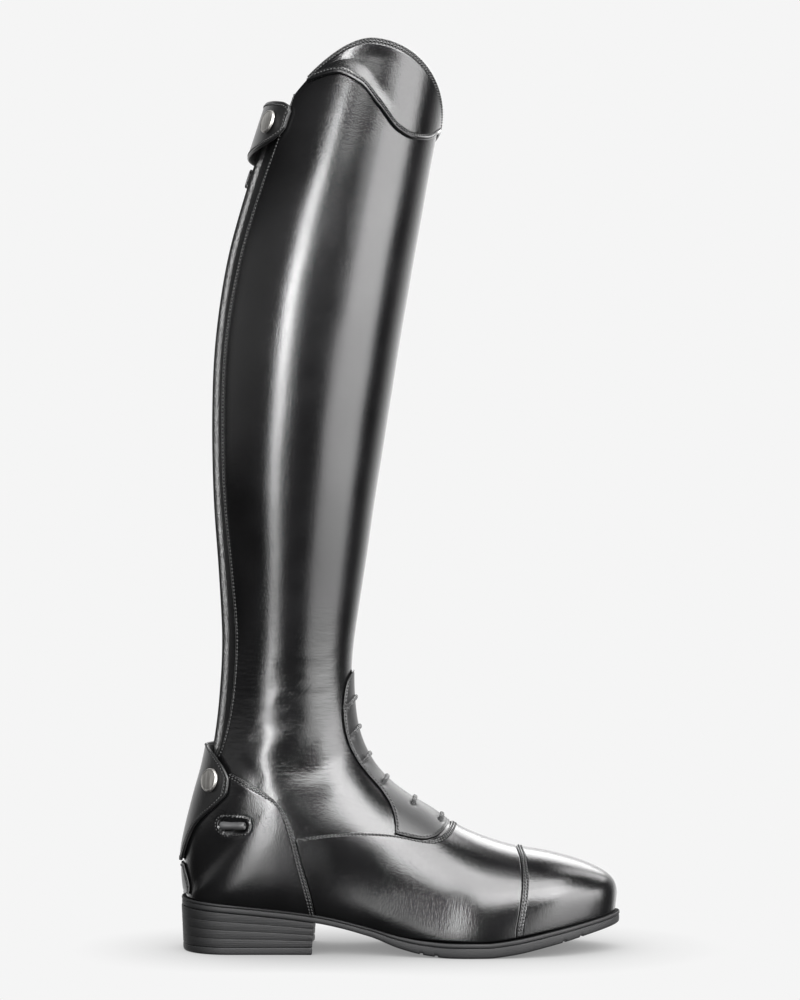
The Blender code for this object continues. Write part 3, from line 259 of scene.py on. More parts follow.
# Closing flaps, as seen from behind: height, outer reach, inner reach
HEEL_FLAP = (
    (54.6, -4.0, 14.5),
    (59.0, -9.0, 14.8),
    (66.0, -12.5, 15.0),
    (76.0, -17.0, 15.2),
    (85.0, -23.5, 15.3),
    (92.0, -28.2, 15.4),
    (99.0, -30.4, 15.5),
    (106.0, -30.0, 15.5),
    (113.0, -27.2, 15.5),
    (119.0, -21.0, 15.4),
    (123.6, -13.0, 15.2),
    (126.2, -5.0, 14.6),
)
FLAP_THICK = 1.8
HEEL_FLAP_LIFT = COUNTER_THICK + 3 * GAP
TOP_FLAP = (  # y across the back, lower edge, upper edge
    (-37.0, 503.0, 513.0),
    (-35.0, 498.5, 517.0),
    (-30.0, 494.5, 519.5),
    (-19.0, 490.5, 521.0),
    (-4.0, 487.5, 521.5),
    (10.0, 486.0, 520.5),
    (24.0, 485.0, 518.0),
    (34.0, 485.0, 515.0),
    (39.0, 488.5, 513.0),
    (42.0, 495.5, 509.0),
)
TOP_FLAP_LIFT = 2.6
TOP_FLAP_THICK = 2.2
HEEL_PATCH = (  # height, half width, as seen from behind
    (34.6, 16.8),
    (40.0, 15.2),
    (46.0, 12.6),
    (53.4, 8.6),
)
PATCH_THICK = 0.9
PATCH_LIFT = COUNTER_THICK + 3 * GAP

# Fittings
TOP_SNAP = (-26.0, 507.0)  # y, z on the top flap
TOP_SNAP_LIFT = 4.9  # the flap's outer face there
HEEL_SNAP = (-22.5, 105.2)
SPUR_REST_X = 34.6
SPUR_REST_Z = 79.4
SPUR_REST_RADIUS = 2.3
SPUR_SLOT = (18.2, 8.0)
SLIDER_SIZE = (7.6, 2.2, 9.5)  # across, out, along
SLIDER_Z = 479.0
PULL_SIZE = (5.4, 1.1, 12.0)
PULL_WINDOW = (3.0, 6.0)
PULL_PLAY = 1.0  # from the slider's face to the pull's hinge
PULL_HINGE_UP = 3.4


# Smooth curves through the tables


def hermite(knots, values, slope_after, slope_before, at):
    """Cubic pieces between knots; each leaves with one slope and arrives with the other."""
    low = np.clip(np.searchsorted(knots, at, side="right") - 1, 0, len(knots) - 2)
    step = knots[low + 1] - knots[low]
    t = (at - knots[low]) / step
    if values.ndim > 1:
        t = t[..., None]
        step = step[..., None]
    start = (1 + 2 * t) * (1 - t) ** 2 * values[low] + t * (1 - t) ** 2 * step * slope_after[low]
    end = t**2 * (3 - 2 * t) * values[low + 1] + t**2 * (t - 1) * step * slope_before[low + 1]
    return start + end


def steady(table, column, at):
    """Smooth curve through one column of a table that never swings past its values."""
    knots = np.array([row[0] for row in table])
    values = np.array([row[column] for row in table])
    rise = np.diff(values) / np.diff(knots)
    product = rise[:-1] * rise[1:]
    total = np.where(product > 0, rise[:-1] + rise[1:], 1.0)
    slopes = np.concatenate((rise[:1], np.where(product > 0, 2 * product / total, 0.0), rise[-1:]))
    at = np.clip(np.asarray(at, float), knots[0], knots[-1])
    return hermite(knots, values, slopes, slopes, at)


def through(points, count):
    """A smooth line through a few points, as so many points at even steps of the drawing."""
    points = np.array(points, float)
    length = np.concatenate(((0.0,), np.cumsum(np.linalg.norm(np.diff(points, axis=0), axis=1))))
    slopes = np.gradient(points, length, axis=0)
    return hermite(length, points, slopes, slopes, np.linspace(0.0, length[-1], count))


# Sole


def sole_half(x, inset=0.0):
    """Half width of the sole's outline: the table, closed at both ends by rounded curves."""
    station = np.clip((np.asarray(x, float) - inset) / (SOLE_LENGTH - 2 * inset), 0.0, 1.0)
    heel = np.clip((HEEL_ROUND - station) / HEEL_ROUND, 0.0, 1.0)
    toe = np.clip((station - 1 + TOE_ROUND) / TOE_ROUND, 0.0, 1.0)
    closing = (1 - np.maximum(heel, toe) ** END_CURVE) ** (1 / END_CURVE)
    return steady(SOLE_OUTLINE, 2, station) * closing


def sole_middle(x):
    return steady(SOLE_OUTLINE, 1, np.asarray(x, float) / SOLE_LENGTH)


def welt_top(x):
    return steady(WELT_TOP, 1, x)


def sole_thick(x):
    return steady(SOLE_THICK, 1, x)


def outsole_top(x):
    return welt_top(x) - WELT_SHARE * sole_thick(x) - GAP


def outsole_bottom(x):
    return welt_top(x) - sole_thick(x)


def sole_stations(inset, heel_count, middle_count, toe_count):
    """Places along the sole, closer together where its outline rounds the heel and the toe."""
    heel_end = HEEL_ROUND * SOLE_LENGTH
    toe_start = (1 - TOE_ROUND) * SOLE_LENGTH
    heel_turn = np.linspace(0.0, math.pi / 2, heel_count)
    toe_turn = np.linspace(math.pi / 2, 0.0, toe_count)
    heel = heel_end - (heel_end - inset) * np.cos(heel_turn)
    toe = toe_start + (SOLE_LENGTH - inset - toe_start) * np.cos(toe_turn)
    middle = np.linspace(heel_end, toe_start, middle_count)
    return np.concatenate((heel, middle[1:-1], toe))


# Upper: sections stand in planes that turn from upright at the toe to level at the collar


def section_table():
    """One row per section: low end, high end and shape, with the foot's low ends set on the welt."""
    rows = []
    for bottom_x, top_x, top_z, ridge, half, widest, low, top in FOOT_SECTIONS:
        seat = float(sole_half(bottom_x, FEATHER_INSET)) * FEATHER_SHARE
        middle = float(sole_middle(bottom_x))
        bottom_z = float(welt_top(bottom_x)) + GAP
        rows.append((bottom_x, bottom_z, middle, seat, top_x, top_z, ridge, half, widest, low, top))
    for back_x, back_z, front_x, front_z, half, widest, low, top in LEG_SECTIONS:
        rows.append((back_x, back_z, 0.0, 0.0, front_x, front_z, 0.0, half, widest, low, top))
    return np.array(rows)


SECTIONS = section_table()
SECTION_ROWS = np.arange(float(len(SECTIONS)))
SLOPE_AFTER = np.gradient(SECTIONS, axis=0)
SLOPE_BEFORE = SLOPE_AFTER.copy()
# the low ends turn a sharp corner where the welt gives way to the back of the heel
SLOPE_AFTER[LEG_START, :4] = SECTIONS[LEG_START + 1, :4] - SECTIONS[LEG_START, :4]
SLOPE_BEFORE[LEG_START, :4] = SECTIONS[LEG_START, :4] - SECTIONS[LEG_START - 1, :4]
# the tip of the toe is rounded across the middle, so its even sizes start level
SLOPE_AFTER[0, (0, 1, 4, 5)] = 0.0


def quarter_length(a, b):
    """Length of a quarter of an ellipse, near enough to share out the columns."""
    return np.sqrt((a * a + b * b) / 2) * math.pi / 2 + 1e-6


def section_point(row, column):
    """Point of one section of the upper.

    A section rises from its low end to its widest place and on to its high end in two quarters of
    a rounded curve; columns run from the outer low end (0) over the ridge (0.5) to the inner one (1).
    """
    row = np.clip(np.asarray(row, float), 0.0, LAST_ROW)
    column = np.asarray(column, float)
    row, column = np.broadcast_arrays(row, column)
    values = hermite(SECTION_ROWS, SECTIONS, SLOPE_AFTER, SLOPE_BEFORE, row)
    low_x, low_z, middle, seat, top_x, top_z, ridge, half, widest, low, top = np.moveaxis(values, -1, 0)
    height = np.hypot(top_x - low_x, top_z - low_z)
    lower = quarter_length(widest * height, half - seat)
    upper = quarter_length((1 - widest) * height, half)
    split = lower / (lower + upper)
    reach = 1 - np.abs(2 * column - 1)
    below = np.clip(reach / split, 0.0, 1.0) * math.pi / 2
    above = np.clip((reach - split) / (1 - split), 0.0, 1.0) * math.pi / 2
    rise_low = widest * (1 - np.cos(below) ** (2 / low))
    width_low = seat + (half - seat) * np.sin(below) ** (2 / low)
    rise_top = widest + (1 - widest) * np.sin(above) ** (2 / top)
    width_top = half * np.clip(np.cos(above), 0.0, 1.0) ** (2 / top)
    share = np.where(reach < split, rise_low, rise_top)
    width = np.where(reach < split, width_low, width_top)
    side = np.where(column < 0.5, -1.0, 1.0)
    return np.stack(
        (
            low_x + (top_x - low_x) * share,
            middle + (ridge - middle) * share + side * width,
            low_z + (top_z - low_z) * share,
        ),
        axis=-1,
    )


def skin(row, column):
    """Point of the upper's outer face: sections flow together round the ankle as a weighted mean."""
    row, column = np.broadcast_arrays(np.asarray(row, float), np.asarray(column, float))
    inside = np.clip((0.5 - np.abs(column - 0.5)) / 0.06, 0.0, 1.0)
    spread = inside * np.exp(-(((row - LEG_START) / 3.0) ** 2))
    steps = zip((-1.0, -0.5, 0.0, 0.5, 1.0), (1, 2, 3, 2, 1))
    return sum(weight * section_point(row + step * spread, column) for step, weight in steps) / 9.0


def skin_normal(row, column):
    """Outward direction of the upper's face, from small steps along it."""
    row, column = np.broadcast_arrays(np.clip(np.asarray(row, float), 0.15, LAST_ROW), column)
    along = skin(row + 0.02, column) - skin(row - 0.02, column)
    low = np.clip(column - 0.002, 0.0, 1.0)
    high = np.clip(column + 0.002, 0.0, 1.0)
    across = skin(row, high) - skin(row, low)
    normal = np.cross(across, along)
    return normal / np.linalg.norm(normal, axis=-1, keepdims=True)


def lifted(row, column, lift):
    """Points and directions of a layer that lies a given height above the upper's face."""
    direction = skin_normal(row, column)
    seam = (np.asarray(column) < 1e-6) | (np.asarray(column) > 1 - 1e-6)
    edge = (np.asarray(row) < 1e-6) | (seam & (np.asarray(row) >= LEG_START))
    direction = np.where(edge[..., None] & np.array((False, True, False)), 0.0, direction)
    direction = direction / np.linalg.norm(direction, axis=-1, keepdims=True)
    return skin(row, column) + direction * np.asarray(lift)[..., None], direction


def find_on_skin(targets, axes, first_row, last_row, last_column):
    """Rows and columns of the upper's outer side at points drawn in one view, by damped steps."""
    targets = np.asarray(targets, float).reshape(-1, 2)
    rows = np.linspace(first_row, last_row, 260)
    columns = np.linspace(0.0, last_column, 80)
    grid_rows, grid_columns = (a.ravel() for a in np.meshgrid(rows, columns, indexing="ij"))
    known = skin(grid_rows, grid_columns)[:, axes]
    nearest = np.array([np.argmin(((known - target) ** 2).sum(axis=1)) for target in targets])
    row = grid_rows[nearest]
    column = grid_columns[nearest]
    for _ in range(12):
        miss = targets - skin(row, column)[:, axes]
        by_row = (skin(row + 0.01, column) - skin(row - 0.01, column))[:, axes] / 0.02
        low = np.clip(column - 0.001, 0.0, 0.5)
        high = np.clip(column + 0.001, 0.0, 0.5)
        by_column = (skin(row, high) - skin(row, low))[:, axes] / (high - low)[:, None]
        a = (by_row**2).sum(axis=1) + 0.01
        b = (by_row * by_column).sum(axis=1)
        c = (by_column**2).sum(axis=1) + 10.0
        p = (by_row * miss).sum(axis=1)
        q = (by_column * miss).sum(axis=1)
        row = np.clip(row + (c * p - b * q) / (a * c - b * b), first_row, last_row)
        column = np.clip(column + (a * q - b * p) / (a * c - b * b), 0.0, last_column)
    return np.stack((row, column), axis=-1)


def from_side(points):
    """Rows and columns at points seen from the outer side, as x and z."""
    return find_on_skin(points, (0, 2), 0.2, LEG_START + 8.0, 0.5)


def from_behind(y, z):
    """Rows and columns at points seen from behind; inner points mirror the outer side."""
    y, z = np.broadcast_arrays(np.asarray(y, float), np.asarray(z, float))
    targets = np.stack((-np.abs(y), z), axis=-1)
    found = find_on_skin(targets, (1, 2), LEG_START - 6.0, LAST_ROW, 0.27).reshape(y.shape + (2,))
    return found[..., 0], np.where(y > 0, 1 - found[..., 1], found[..., 1])


def ridge_row(heights):
    """Rows at which the ridge of shin and instep has these heights."""
    rows = np.linspace(0.0, LAST_ROW, 1400)
    return np.interp(heights, skin(rows, 0.5)[:, 2], rows)


def pairs(rows, columns):
    return np.stack(np.broadcast_arrays(np.asarray(rows, float), np.asarray(columns, float)), axis=-1)


def mirrored(area):
    """The same area on the inner side."""
    return pairs(area[..., 0], 1 - area[..., 1])


# Collar and back opening


def turn(column):
    """Degrees round the leg from the shin, minus on the outer side."""
    return 360.0 * (np.asarray(column, float) - 0.5)


def collar_height(column):
    """Height of the collar: a gentle lean, and the raised top as a rounded hump."""
    angle = turn(column)
    away = (angle - RISE_TURN) / np.where(angle > RISE_TURN, RISE_FRONT, RISE_BACK)
    hump = np.cos(np.clip(away, -1.0, 1.0) * math.pi / 2)
    return COLLAR_MEAN - COLLAR_LEAN * np.cos(np.radians(angle)) + COLLAR_RISE * hump


def row_at_height(column, height):
    """Row at which each column of the leg reaches a height."""
    rows = np.linspace(LEG_START + 8.0, LAST_ROW, 500)
    column, height = np.broadcast_arrays(np.asarray(column, float), np.asarray(height, float))
    levels = skin(rows[:, None], column.ravel()[None, :])[..., 2]
    found = [np.interp(h, levels[:, i], rows) for i, h in enumerate(height.ravel())]
    return np.array(found).reshape(column.shape)


def back_y(edge, z):
    """Where an edge of the back opening runs, as seen from behind."""
    share = np.clip((np.asarray(z, float) - SLOT_FULL) / (COLLAR_MEAN - SLOT_FULL), 0.0, 1.2)
    return edge[0] + (edge[1] - edge[0]) * np.sqrt(share)


def slot_column(row, edge):
    """Column at which the back opening cuts a section, or the back seam below the opening."""
    columns = np.linspace(0.0, 0.2, 160)
    found = []
    for one_row in row:
        points = skin(one_row, columns)
        opening = np.clip((points[:, 2] - SLOT_FOOT) / (SLOT_FULL - SLOT_FOOT), 0.0, 1.0) ** 0.6
        past = np.abs(points[:, 1]) - np.abs(back_y(edge, points[:, 2])) * opening
        found.append(np.interp(0.0, past, columns) if points[0, 2] > SLOT_FOOT else 0.0)
    return np.array(found)


# Meshes

EDGE_STEPS = np.array((0.0, 0.05, 0.16, 0.34, 0.6, 0.95, 1.4))  # distances of grid lines from a plain edge
SEAM_STEPS = np.array(
    (0.0, 0.05, 0.16, 0.34, 0.6, 0.82, 1.05, 1.3, 1.55, 1.85, 2.2, 2.5, 2.75, 3.0, 3.25, 3.5, 3.85, 4.5, 5.3)
)
FIRST_ROW = 1.3  # stitch rows, from the edge they follow
SECOND_ROW = 3.0
FLAP_ROW = 2.4
PATCH_ROW = 1.8
CUFF_ROW = 3.1
CAP_FOLDS = 0.6  # share of the leather's folds that the toe cap takes up
COUNTER_FOLDS = 0.5
ALL_SIDES = dict.fromkeys(("start", "end", "left", "right"), True)  # free sides of a sheet
FAR = 99.0


def unit(vectors):
    return vectors / np.maximum(np.linalg.norm(vectors, axis=-1, keepdims=True), 1e-9)


def bell(away, reach):
    """One in the middle, falling off to nothing past a reach."""
    return np.exp(-((away / reach) ** 2))


def eased(count):
    """Shares from 0 to 1, closer together at both ends."""
    return (1 - np.cos(np.linspace(0.0, math.pi, count))) / 2


def circle(count):
    """Even angles once round."""
    return np.arange(count) * 2 * math.pi / count


def ring_about(side, up, count):
    """A ring of unit radius in the plane of two directions."""
    around = circle(count)
    return np.cos(around)[:, None] * side + np.sin(around)[:, None] * up


def resampled(at, run, values):
    """Rows of values at other places along a run."""
    return np.stack([np.interp(at, run, column) for column in values.T], axis=-1)


def copies(triangles, points, count):
    """The triangles of one shape repeated for so many shapes of so many points."""
    return (triangles[None] + points * np.arange(count)[:, None, None]).reshape(-1, 3)


def grid_triangles(lines, places, around=False):
    """Two triangles for every cell of a grid numbered line by line; around joins its ends."""
    index = np.arange(lines * places).reshape(lines, places)
    if around:
        index = np.concatenate((index, index[:, :1]), axis=1)
    a, b = index[:-1, :-1].ravel(), index[:-1, 1:].ravel()
    c, d = index[1:, 1:].ravel(), index[1:, :-1].ravel()
    return np.concatenate((np.stack((a, b, c), axis=-1), np.stack((a, c, d), axis=-1)))


def lengths_along(points):
    """Distance along the lines of a grid, counted from its first row."""
    steps = np.linalg.norm(np.diff(points, axis=0), axis=-1)
    return np.concatenate((np.zeros((1,) + steps.shape[1:]), np.cumsum(steps, axis=0)))


def side_distances(face):
    """Distance of every grid point from each of the grid's four sides, along the grid's own lines."""
    along = lengths_along(face)
    across = lengths_along(face.swapaxes(0, 1)).T
    return {"start": along, "end": along[-1] - along, "left": across, "right": across[:, -1:] - across}


def web(first, last, near_first, near_last, count):
    """Grid of rows and columns between two lines drawn on the upper.

    Cross lines join matching points and are stepped by true length: by the given distances next to their ends
    and evenly between them.
    """
    share = np.linspace(0.0, 1.0, 61)
    path = first + (last - first) * share[:, None, None]
    length = lengths_along(skin(path[..., 0], path[..., 1]))
    total = length[-1]
    fit = np.minimum(1.0, 0.45 * total / max(near_first[-1], near_last[-1], 1e-6))
    low = near_first[-1] * fit
    high = total - near_last[-1] * fit
    middle = low + (high - low) * np.linspace(0.0, 1.0, count + 2)[1:-1, None]
    target = np.concatenate((near_first[:, None] * fit, middle, total - near_last[::-1, None] * fit))
    steps = [np.interp(target[:, i], length[:, i], share) for i in range(len(total))]
    return first + (last - first) * np.stack(steps, axis=1)[..., None]


def on_upper(area):
    """Points and outward directions of the upper's face at rows and columns."""
    return lifted(area[..., 0], area[..., 1], np.zeros(area.shape[:-1]))


def seen_behind(y, z):
    """Points and outward directions of the upper's face at points seen from behind."""
    return on_upper(pairs(*from_behind(y, z)))


def sheet(face, out, lift, thick, sides, relief=None, nearest=FAR, squeeze=1.0):
    """A layer over the upper: an outer and an inner face a thickness apart that meet in half-round edges.

    At a distance d from a free side both faces draw in by r(1 - sqrt(1 - (1 - d/kr)^2)), where r is half the
    thickness and k squeezes the half circle. Relief is added outward, and nothing dips into the welt.
    """
    away = side_distances(face)
    nearest = np.full(face.shape[:2], nearest)
    for side, free in sides.items():
        nearest = np.minimum(nearest, np.where(free, away[side], FAR))
    radius = thick / 2
    drop = radius * (1 - np.sqrt(1 - np.clip(1 - nearest / (squeeze * radius), 0.0, 1.0) ** 2))
    raised = lift + (relief(face, away, nearest) if relief else np.zeros(face.shape[:2]))
    layers = []
    for height in (raised + thick - drop, raised + drop):
        points = face + out * height[..., None]
        points[..., 2] = np.maximum(points[..., 2], welt_top(points[..., 0]) + 0.15)
        layers.append(points.reshape(-1, 3))
    across = face[:-1, 1:] - face[:-1, :-1]
    along = face[1:, :-1] - face[:-1, :-1]
    triangles = grid_triangles(*face.shape[:2])
    if (np.cross(across, along) * out[:-1, :-1]).sum() < 0:
        triangles = triangles[:, ::-1]
    inner = triangles[:, ::-1] + len(layers[0])
    layer = np.repeat((0, 1), len(triangles))
    return np.concatenate(layers), np.concatenate((triangles, inner)), layer


def solid(rings, around=False, flip=False, layers=None):
    """A skin through rings of points; a ring shrunk to a point closes an end, around closes the loop.

    Layers may give each band between two rings its own finish.
    """
    rings = np.asarray(rings, float)
    count, places = rings.shape[:2]
    if around:
        rings = np.concatenate((rings, rings[:1]))
        count += 1
    triangles = grid_triangles(count, places, around=True)
    if flip:
        triangles = triangles[:, ::-1]
    layer = np.tile(np.repeat(np.zeros(count - 1, int) if layers is None else layers, places), 2)
    return rings.reshape(-1, 3), triangles, layer


def add_piece(name, parts, looks, nodes=(), body="boot"):
    """One object from several meshes: equal points are welded and flat triangles dropped."""
    starts = np.cumsum([0] + [len(part[0]) for part in parts])
    points = np.concatenate([part[0] for part in parts])
    triangles = np.concatenate([part[1] + start for part, start in zip(parts, starts)])
    layer = np.concatenate([part[2] for part in parts])
    keys = np.round(points * 2e3).astype(np.int64)
    _, first, place = np.unique(keys, axis=0, return_index=True, return_inverse=True)
    triangles = place.reshape(-1)[triangles]
    a, b, c = triangles.T
    keep = (a != b) & (b != c) & (c != a)
    triangles, layer = triangles[keep], layer[keep]
    mesh = bpy.data.meshes.new(name)
    mesh.vertices.add(len(first))
    mesh.vertices.foreach_set("co", ((points[first] - ORIGIN) * MM).ravel())
    mesh.loops.add(3 * len(triangles))
    mesh.loops.foreach_set("vertex_index", triangles.ravel().astype(np.int32))
    mesh.polygons.add(len(triangles))
    mesh.polygons.foreach_set("loop_start", np.arange(0, 3 * len(triangles), 3, dtype=np.int32))
    mesh.polygons.foreach_set("material_index", layer.astype(np.int32))
    for look in looks:
        mesh.materials.append(look)
    mesh.update(calc_edges=True)
    mesh.validate()
    mesh.shade_smooth()
    piece = bpy.data.objects.new(name, mesh)
    bpy.context.scene.collection.objects.link(piece)
    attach(piece, body)
    if nodes:
        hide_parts(*nodes)
    return piece


def line_at(face, out, side, distance):
    """The line that runs along a grid's side at a distance from it, with its outward directions."""
    if side in ("left", "right"):
        face, out = face.swapaxes(0, 1), out.swapaxes(0, 1)
    if side in ("end", "right"):
        face, out = face[::-1], out[::-1]
    along = lengths_along(face)
    place = np.arange(face.shape[1])
    after = np.clip((along < distance).sum(axis=0), 1, len(along) - 1)
    before = along[after - 1, place]
    share = np.clip((distance - before) / np.maximum(along[after, place] - before, 1e-9), 0.0, 1.0)[:, None]
    points = face[after - 1, place] * (1 - share) + face[after, place] * share
    return points, unit(out[after - 1, place] * (1 - share) + out[after, place] * share)


THREAD_STATIONS = np.array((-1.0, -0.8, -0.4, 0.4, 0.8, 1.0))
THREAD_SWELL = np.array((0.0, 0.75, 1.0, 1.0, 0.75, 0.0))
THREAD_ARCH = np.array((-1.4, -0.5, 0.15, 0.15, -0.5, -1.4))
THREAD_SIDES = 6
THREAD_SINK = 0.1  # how deep threads lie in the leather
STITCHES = []


def stitch(points, out, lift, pitch=2.2, length=1.75, radius=0.48, slant=0.42):
    """A row of stitches: threads that rise from one hole and dip into the next, their round section
    swelling from a point and closing again, each turned a little out of the row's line."""
    line = points + out * lift
    run = lengths_along(line)
    count = int(run[-1] // pitch)
    at = (np.arange(count) + 0.5) * run[-1] / count
    centre, up = resampled(at, run, line), unit(resampled(at, run, out))
    ahead = unit(resampled(at, run, np.gradient(line, axis=0)))
    across = np.cross(up, ahead)
    ahead, across = unit(ahead + slant * across), unit(across - slant * ahead)
    centre, ahead, up, across = (a[:, None, None, :] for a in (centre, ahead, up, across))
    reach = (THREAD_STATIONS * length / 2)[None, :, None, None]
    rise = (THREAD_ARCH * radius)[None, :, None, None]
    swell = radius * THREAD_SWELL[None, :, None, None]
    around = circle(THREAD_SIDES)[None, None, :, None]
    ring = np.cos(around) * across + np.sin(around) * up
    shape = centre + ahead * reach + up * rise + ring * swell
    one = grid_triangles(len(THREAD_STATIONS), THREAD_SIDES, around=True)
    triangles = copies(one, len(THREAD_STATIONS) * THREAD_SIDES, count)
    STITCHES.append((shape.reshape(-1, 3), triangles, np.zeros(len(triangles), int)))


# Leather's folds and seams

CREASES = (
    # start x, start z, end x, end z, bow, depth, width, ridge on the line's left
    (74.0, 147.0, 41.0, 130.0, -1.5, 0.6, 6.0, 0.3),
    (104.0, 124.0, 68.0, 112.0, 2.5, 0.4, 6.0, 0.2),
    (58.0, 178.0, 90.0, 174.0, 1.0, 0.16, 3.2, 0.1),
    (60.0, 164.0, 40.0, 158.0, 1.0, 0.18, 4.0, 0.12),
    (62.0, 158.0, 94.0, 160.0, -1.0, 0.2, 2.6, 0.14),
    (52.0, 104.0, 36.0, 122.0, 1.0, 0.5, 4.0, 0.3),
)
HIP_HEIGHT = 2.6  # the instep is pushed out under the bend, most at this height and between these lengths
HIP_Z, HIP_REACH = 70.0, 26.0
HIP_RISE = (20.0, 75.0)
HIP_FALL = (92.0, 132.0)
SWELLS = (  # x, z, reach along, reach up, height: over the ball of the foot, over the ankle
    (188.0, 12.0, 20.0, 18.0, 1.3),
    (60.0, 102.0, 13.0, 18.0, 1.7),
)


def smooth_step(value, low, high):
    t = np.clip((value - low) / (high - low), 0.0, 1.0)
    return t * t * (3 - 2 * t)


def crease_relief(points):
    """Soft troughs in the side view: each follows a bowed line, its depth falls off as a bell across the line
    and to both ends, and a lower ridge runs along one side. Below them the instep is pushed out, and the
    leather swells here and there."""
    x, z = points[..., 0], points[..., 2]
    height = np.zeros(x.shape)
    for x0, z0, x1, z1, bow, depth, width, ridge in CREASES:
        run = np.hypot(x1 - x0, z1 - z0)
        ahead = ((x1 - x0) / run, (z1 - z0) / run)
        t = ((x - x0) * ahead[0] + (z - z0) * ahead[1]) / run
        off = (z - z0) * ahead[0] - (x - x0) * ahead[1] - bow * 4 * t * (1 - t)
        fade = bell(np.clip(np.abs(t - 0.5) - 0.3, 0.0, None), 0.16)
        height += fade * (ridge * bell(off - 1.9 * width, width) - depth * bell(off, width))
    hip = smooth_step(x, *HIP_RISE) * (1 - smooth_step(x, *HIP_FALL))
    height += HIP_HEIGHT * hip * bell(z - HIP_Z, HIP_REACH)
    for x0, z0, along, up, most in SWELLS:
        height += most * bell(x - x0, along) * bell(z - z0, up)
    return height


def wave_relief(points):
    """Slow unevenness of hand-worked leather: a few long sine waves."""
    x, y, z = np.moveaxis(points, -1, 0)
    level = 0.05 * np.sin(x / 9.0 + z / 31.0) + 0.06 * np.sin(z / 17.0 + y / 13.0 + 1.0)
    return level + 0.04 * np.sin(z / 7.3 - x / 15.0)


def groove(away, place, depth=0.42, width=0.42):
    """A stitched line pressed into the leather."""
    return -depth * bell(away - place, width)


def double_groove(away):
    return groove(away, FIRST_ROW) + groove(away, SECOND_ROW)


def folded(points, share=1.0):
    """Relief of plain leather: a share of its folds, and its unevenness."""
    return share * crease_relief(points) + wave_relief(points)


# Nodes for the finishes

NOISE_RANGE = (0.3, 0.7)  # the part of a noise's range that is spread between two values
CLOUD_SCALE = 26.0
COAT_ROUGHNESS = 0.1


def node(tree, kind, values=None, **settings):
    """A shader node with its settings, and with each input set to a value or linked to another socket."""
    made = tree.nodes.new(kind)
    for key, value in settings.items():
        setattr(made, key, value)
    for socket, value in (values or {}).items():
        if isinstance(value, bpy.types.NodeSocket):
            tree.links.new(value, made.inputs[socket])
        else:
            made.inputs[socket].default_value = value
    return made


def noise(tree, place, scale=1.0, detail=3.0, roughness=0.5):
    values = {"Vector": place, "Scale": scale, "Detail": detail, "Roughness": roughness}
    return node(tree, "ShaderNodeTexNoise", values).outputs["Fac"]


def drawn_out(tree, place, scale, lean=0.0):
    """The place stretched along its axes and turned about the y axis."""
    values = {"Vector": place, "Scale": scale, "Rotation": (0.0, lean, 0.0)}
    return node(tree, "ShaderNodeMapping", values).outputs["Vector"]


def combined(tree, operation, *values):
    """Numbers or sockets put together by one operation."""
    return node(tree, "ShaderNodeMath", dict(enumerate(values)), operation=operation).outputs["Value"]


def eased_range(tree, value, low, high, to_low=0.0, to_high=1.0):
    """A value that eases from one level to another between two limits."""
    values = {"Value": value, "From Min": low, "From Max": high, "To Min": to_low, "To Max": to_high}
    return node(tree, "ShaderNodeMapRange", values, interpolation_type="SMOOTHSTEP").outputs["Result"]


def bumped(tree, height, strength, distance, under=None, **settings):
    """Normal of a face that a height raises, over another normal where one is given."""
    values = {"Strength": strength, "Distance": distance, "Height": height}
    if under is not None:
        values["Normal"] = under
    return node(tree, "ShaderNodeBump", values, **settings).outputs["Normal"]


def group_tree(name, inputs, outputs):
    """An empty node group with its sockets, and its start and end."""
    tree = bpy.data.node_groups.new(name, "ShaderNodeTree")
    for way, sockets in (("INPUT", inputs), ("OUTPUT", outputs)):
        for label, kind in sockets:
            tree.interface.new_socket(label, in_out=way, socket_type=kind)
    return tree, tree.nodes.new("NodeGroupInput"), tree.nodes.new("NodeGroupOutput")


def grain_group():
    """Leather's pores and slow clouding: fine noise and small cells for height, wide noise for clouding."""
    tree, start, end = group_tree(
        "leather_grain",
        (("Vector", "NodeSocketVector"), ("Scale", "NodeSocketFloat")),
        (("Height", "NodeSocketFloat"), ("Cloud", "NodeSocketFloat")),
    )
    place, scale = start.outputs["Vector"], start.outputs["Scale"]
    pores = node(tree, "ShaderNodeTexVoronoi", {"Vector": place, "Scale": scale}, feature="SMOOTH_F1")
    height = combined(tree, "ADD", pores.outputs["Distance"], noise(tree, place, scale, detail=1.0))
    tree.links.new(height, end.inputs["Height"])
    tree.links.new(noise(tree, place, CLOUD_SCALE), end.inputs["Cloud"])
    return tree


def wrinkle_group():
    """Fine bending lines: noise drawn out sideways round the ankle and steeply over the foot."""
    sockets = (("Vector", "NodeSocketVector"),), (("Height", "NodeSocketFloat"),)
    tree, start, end = group_tree("ankle_wrinkles", *sockets)
    place = start.outputs["Vector"]
    along = node(tree, "ShaderNodeSeparateXYZ", {"Vector": place}).outputs
    lines = noise(tree, drawn_out(tree, place, (90.0, 90.0, 520.0), 0.12), detail=5.0, roughness=0.6)
    above = eased_range(tree, along["Z"], 0.085, 0.125)
    below = eased_range(tree, along["Z"], 0.24, 0.15)
    ankle = combined(tree, "MULTIPLY", lines, combined(tree, "MULTIPLY", above, below))
    bends = noise(tree, drawn_out(tree, place, (700.0, 220.0, 160.0), -0.45), detail=4.0, roughness=0.6)
    ahead = eased_range(tree, along["X"], -0.03, 0.02)
    both = combined(tree, "MULTIPLY_ADD", combined(tree, "MULTIPLY", bends, 0.35), ahead, ankle)
    tree.links.new(both, end.inputs["Height"])
    return tree


GRAIN = grain_group()
WRINKLES = wrinkle_group()


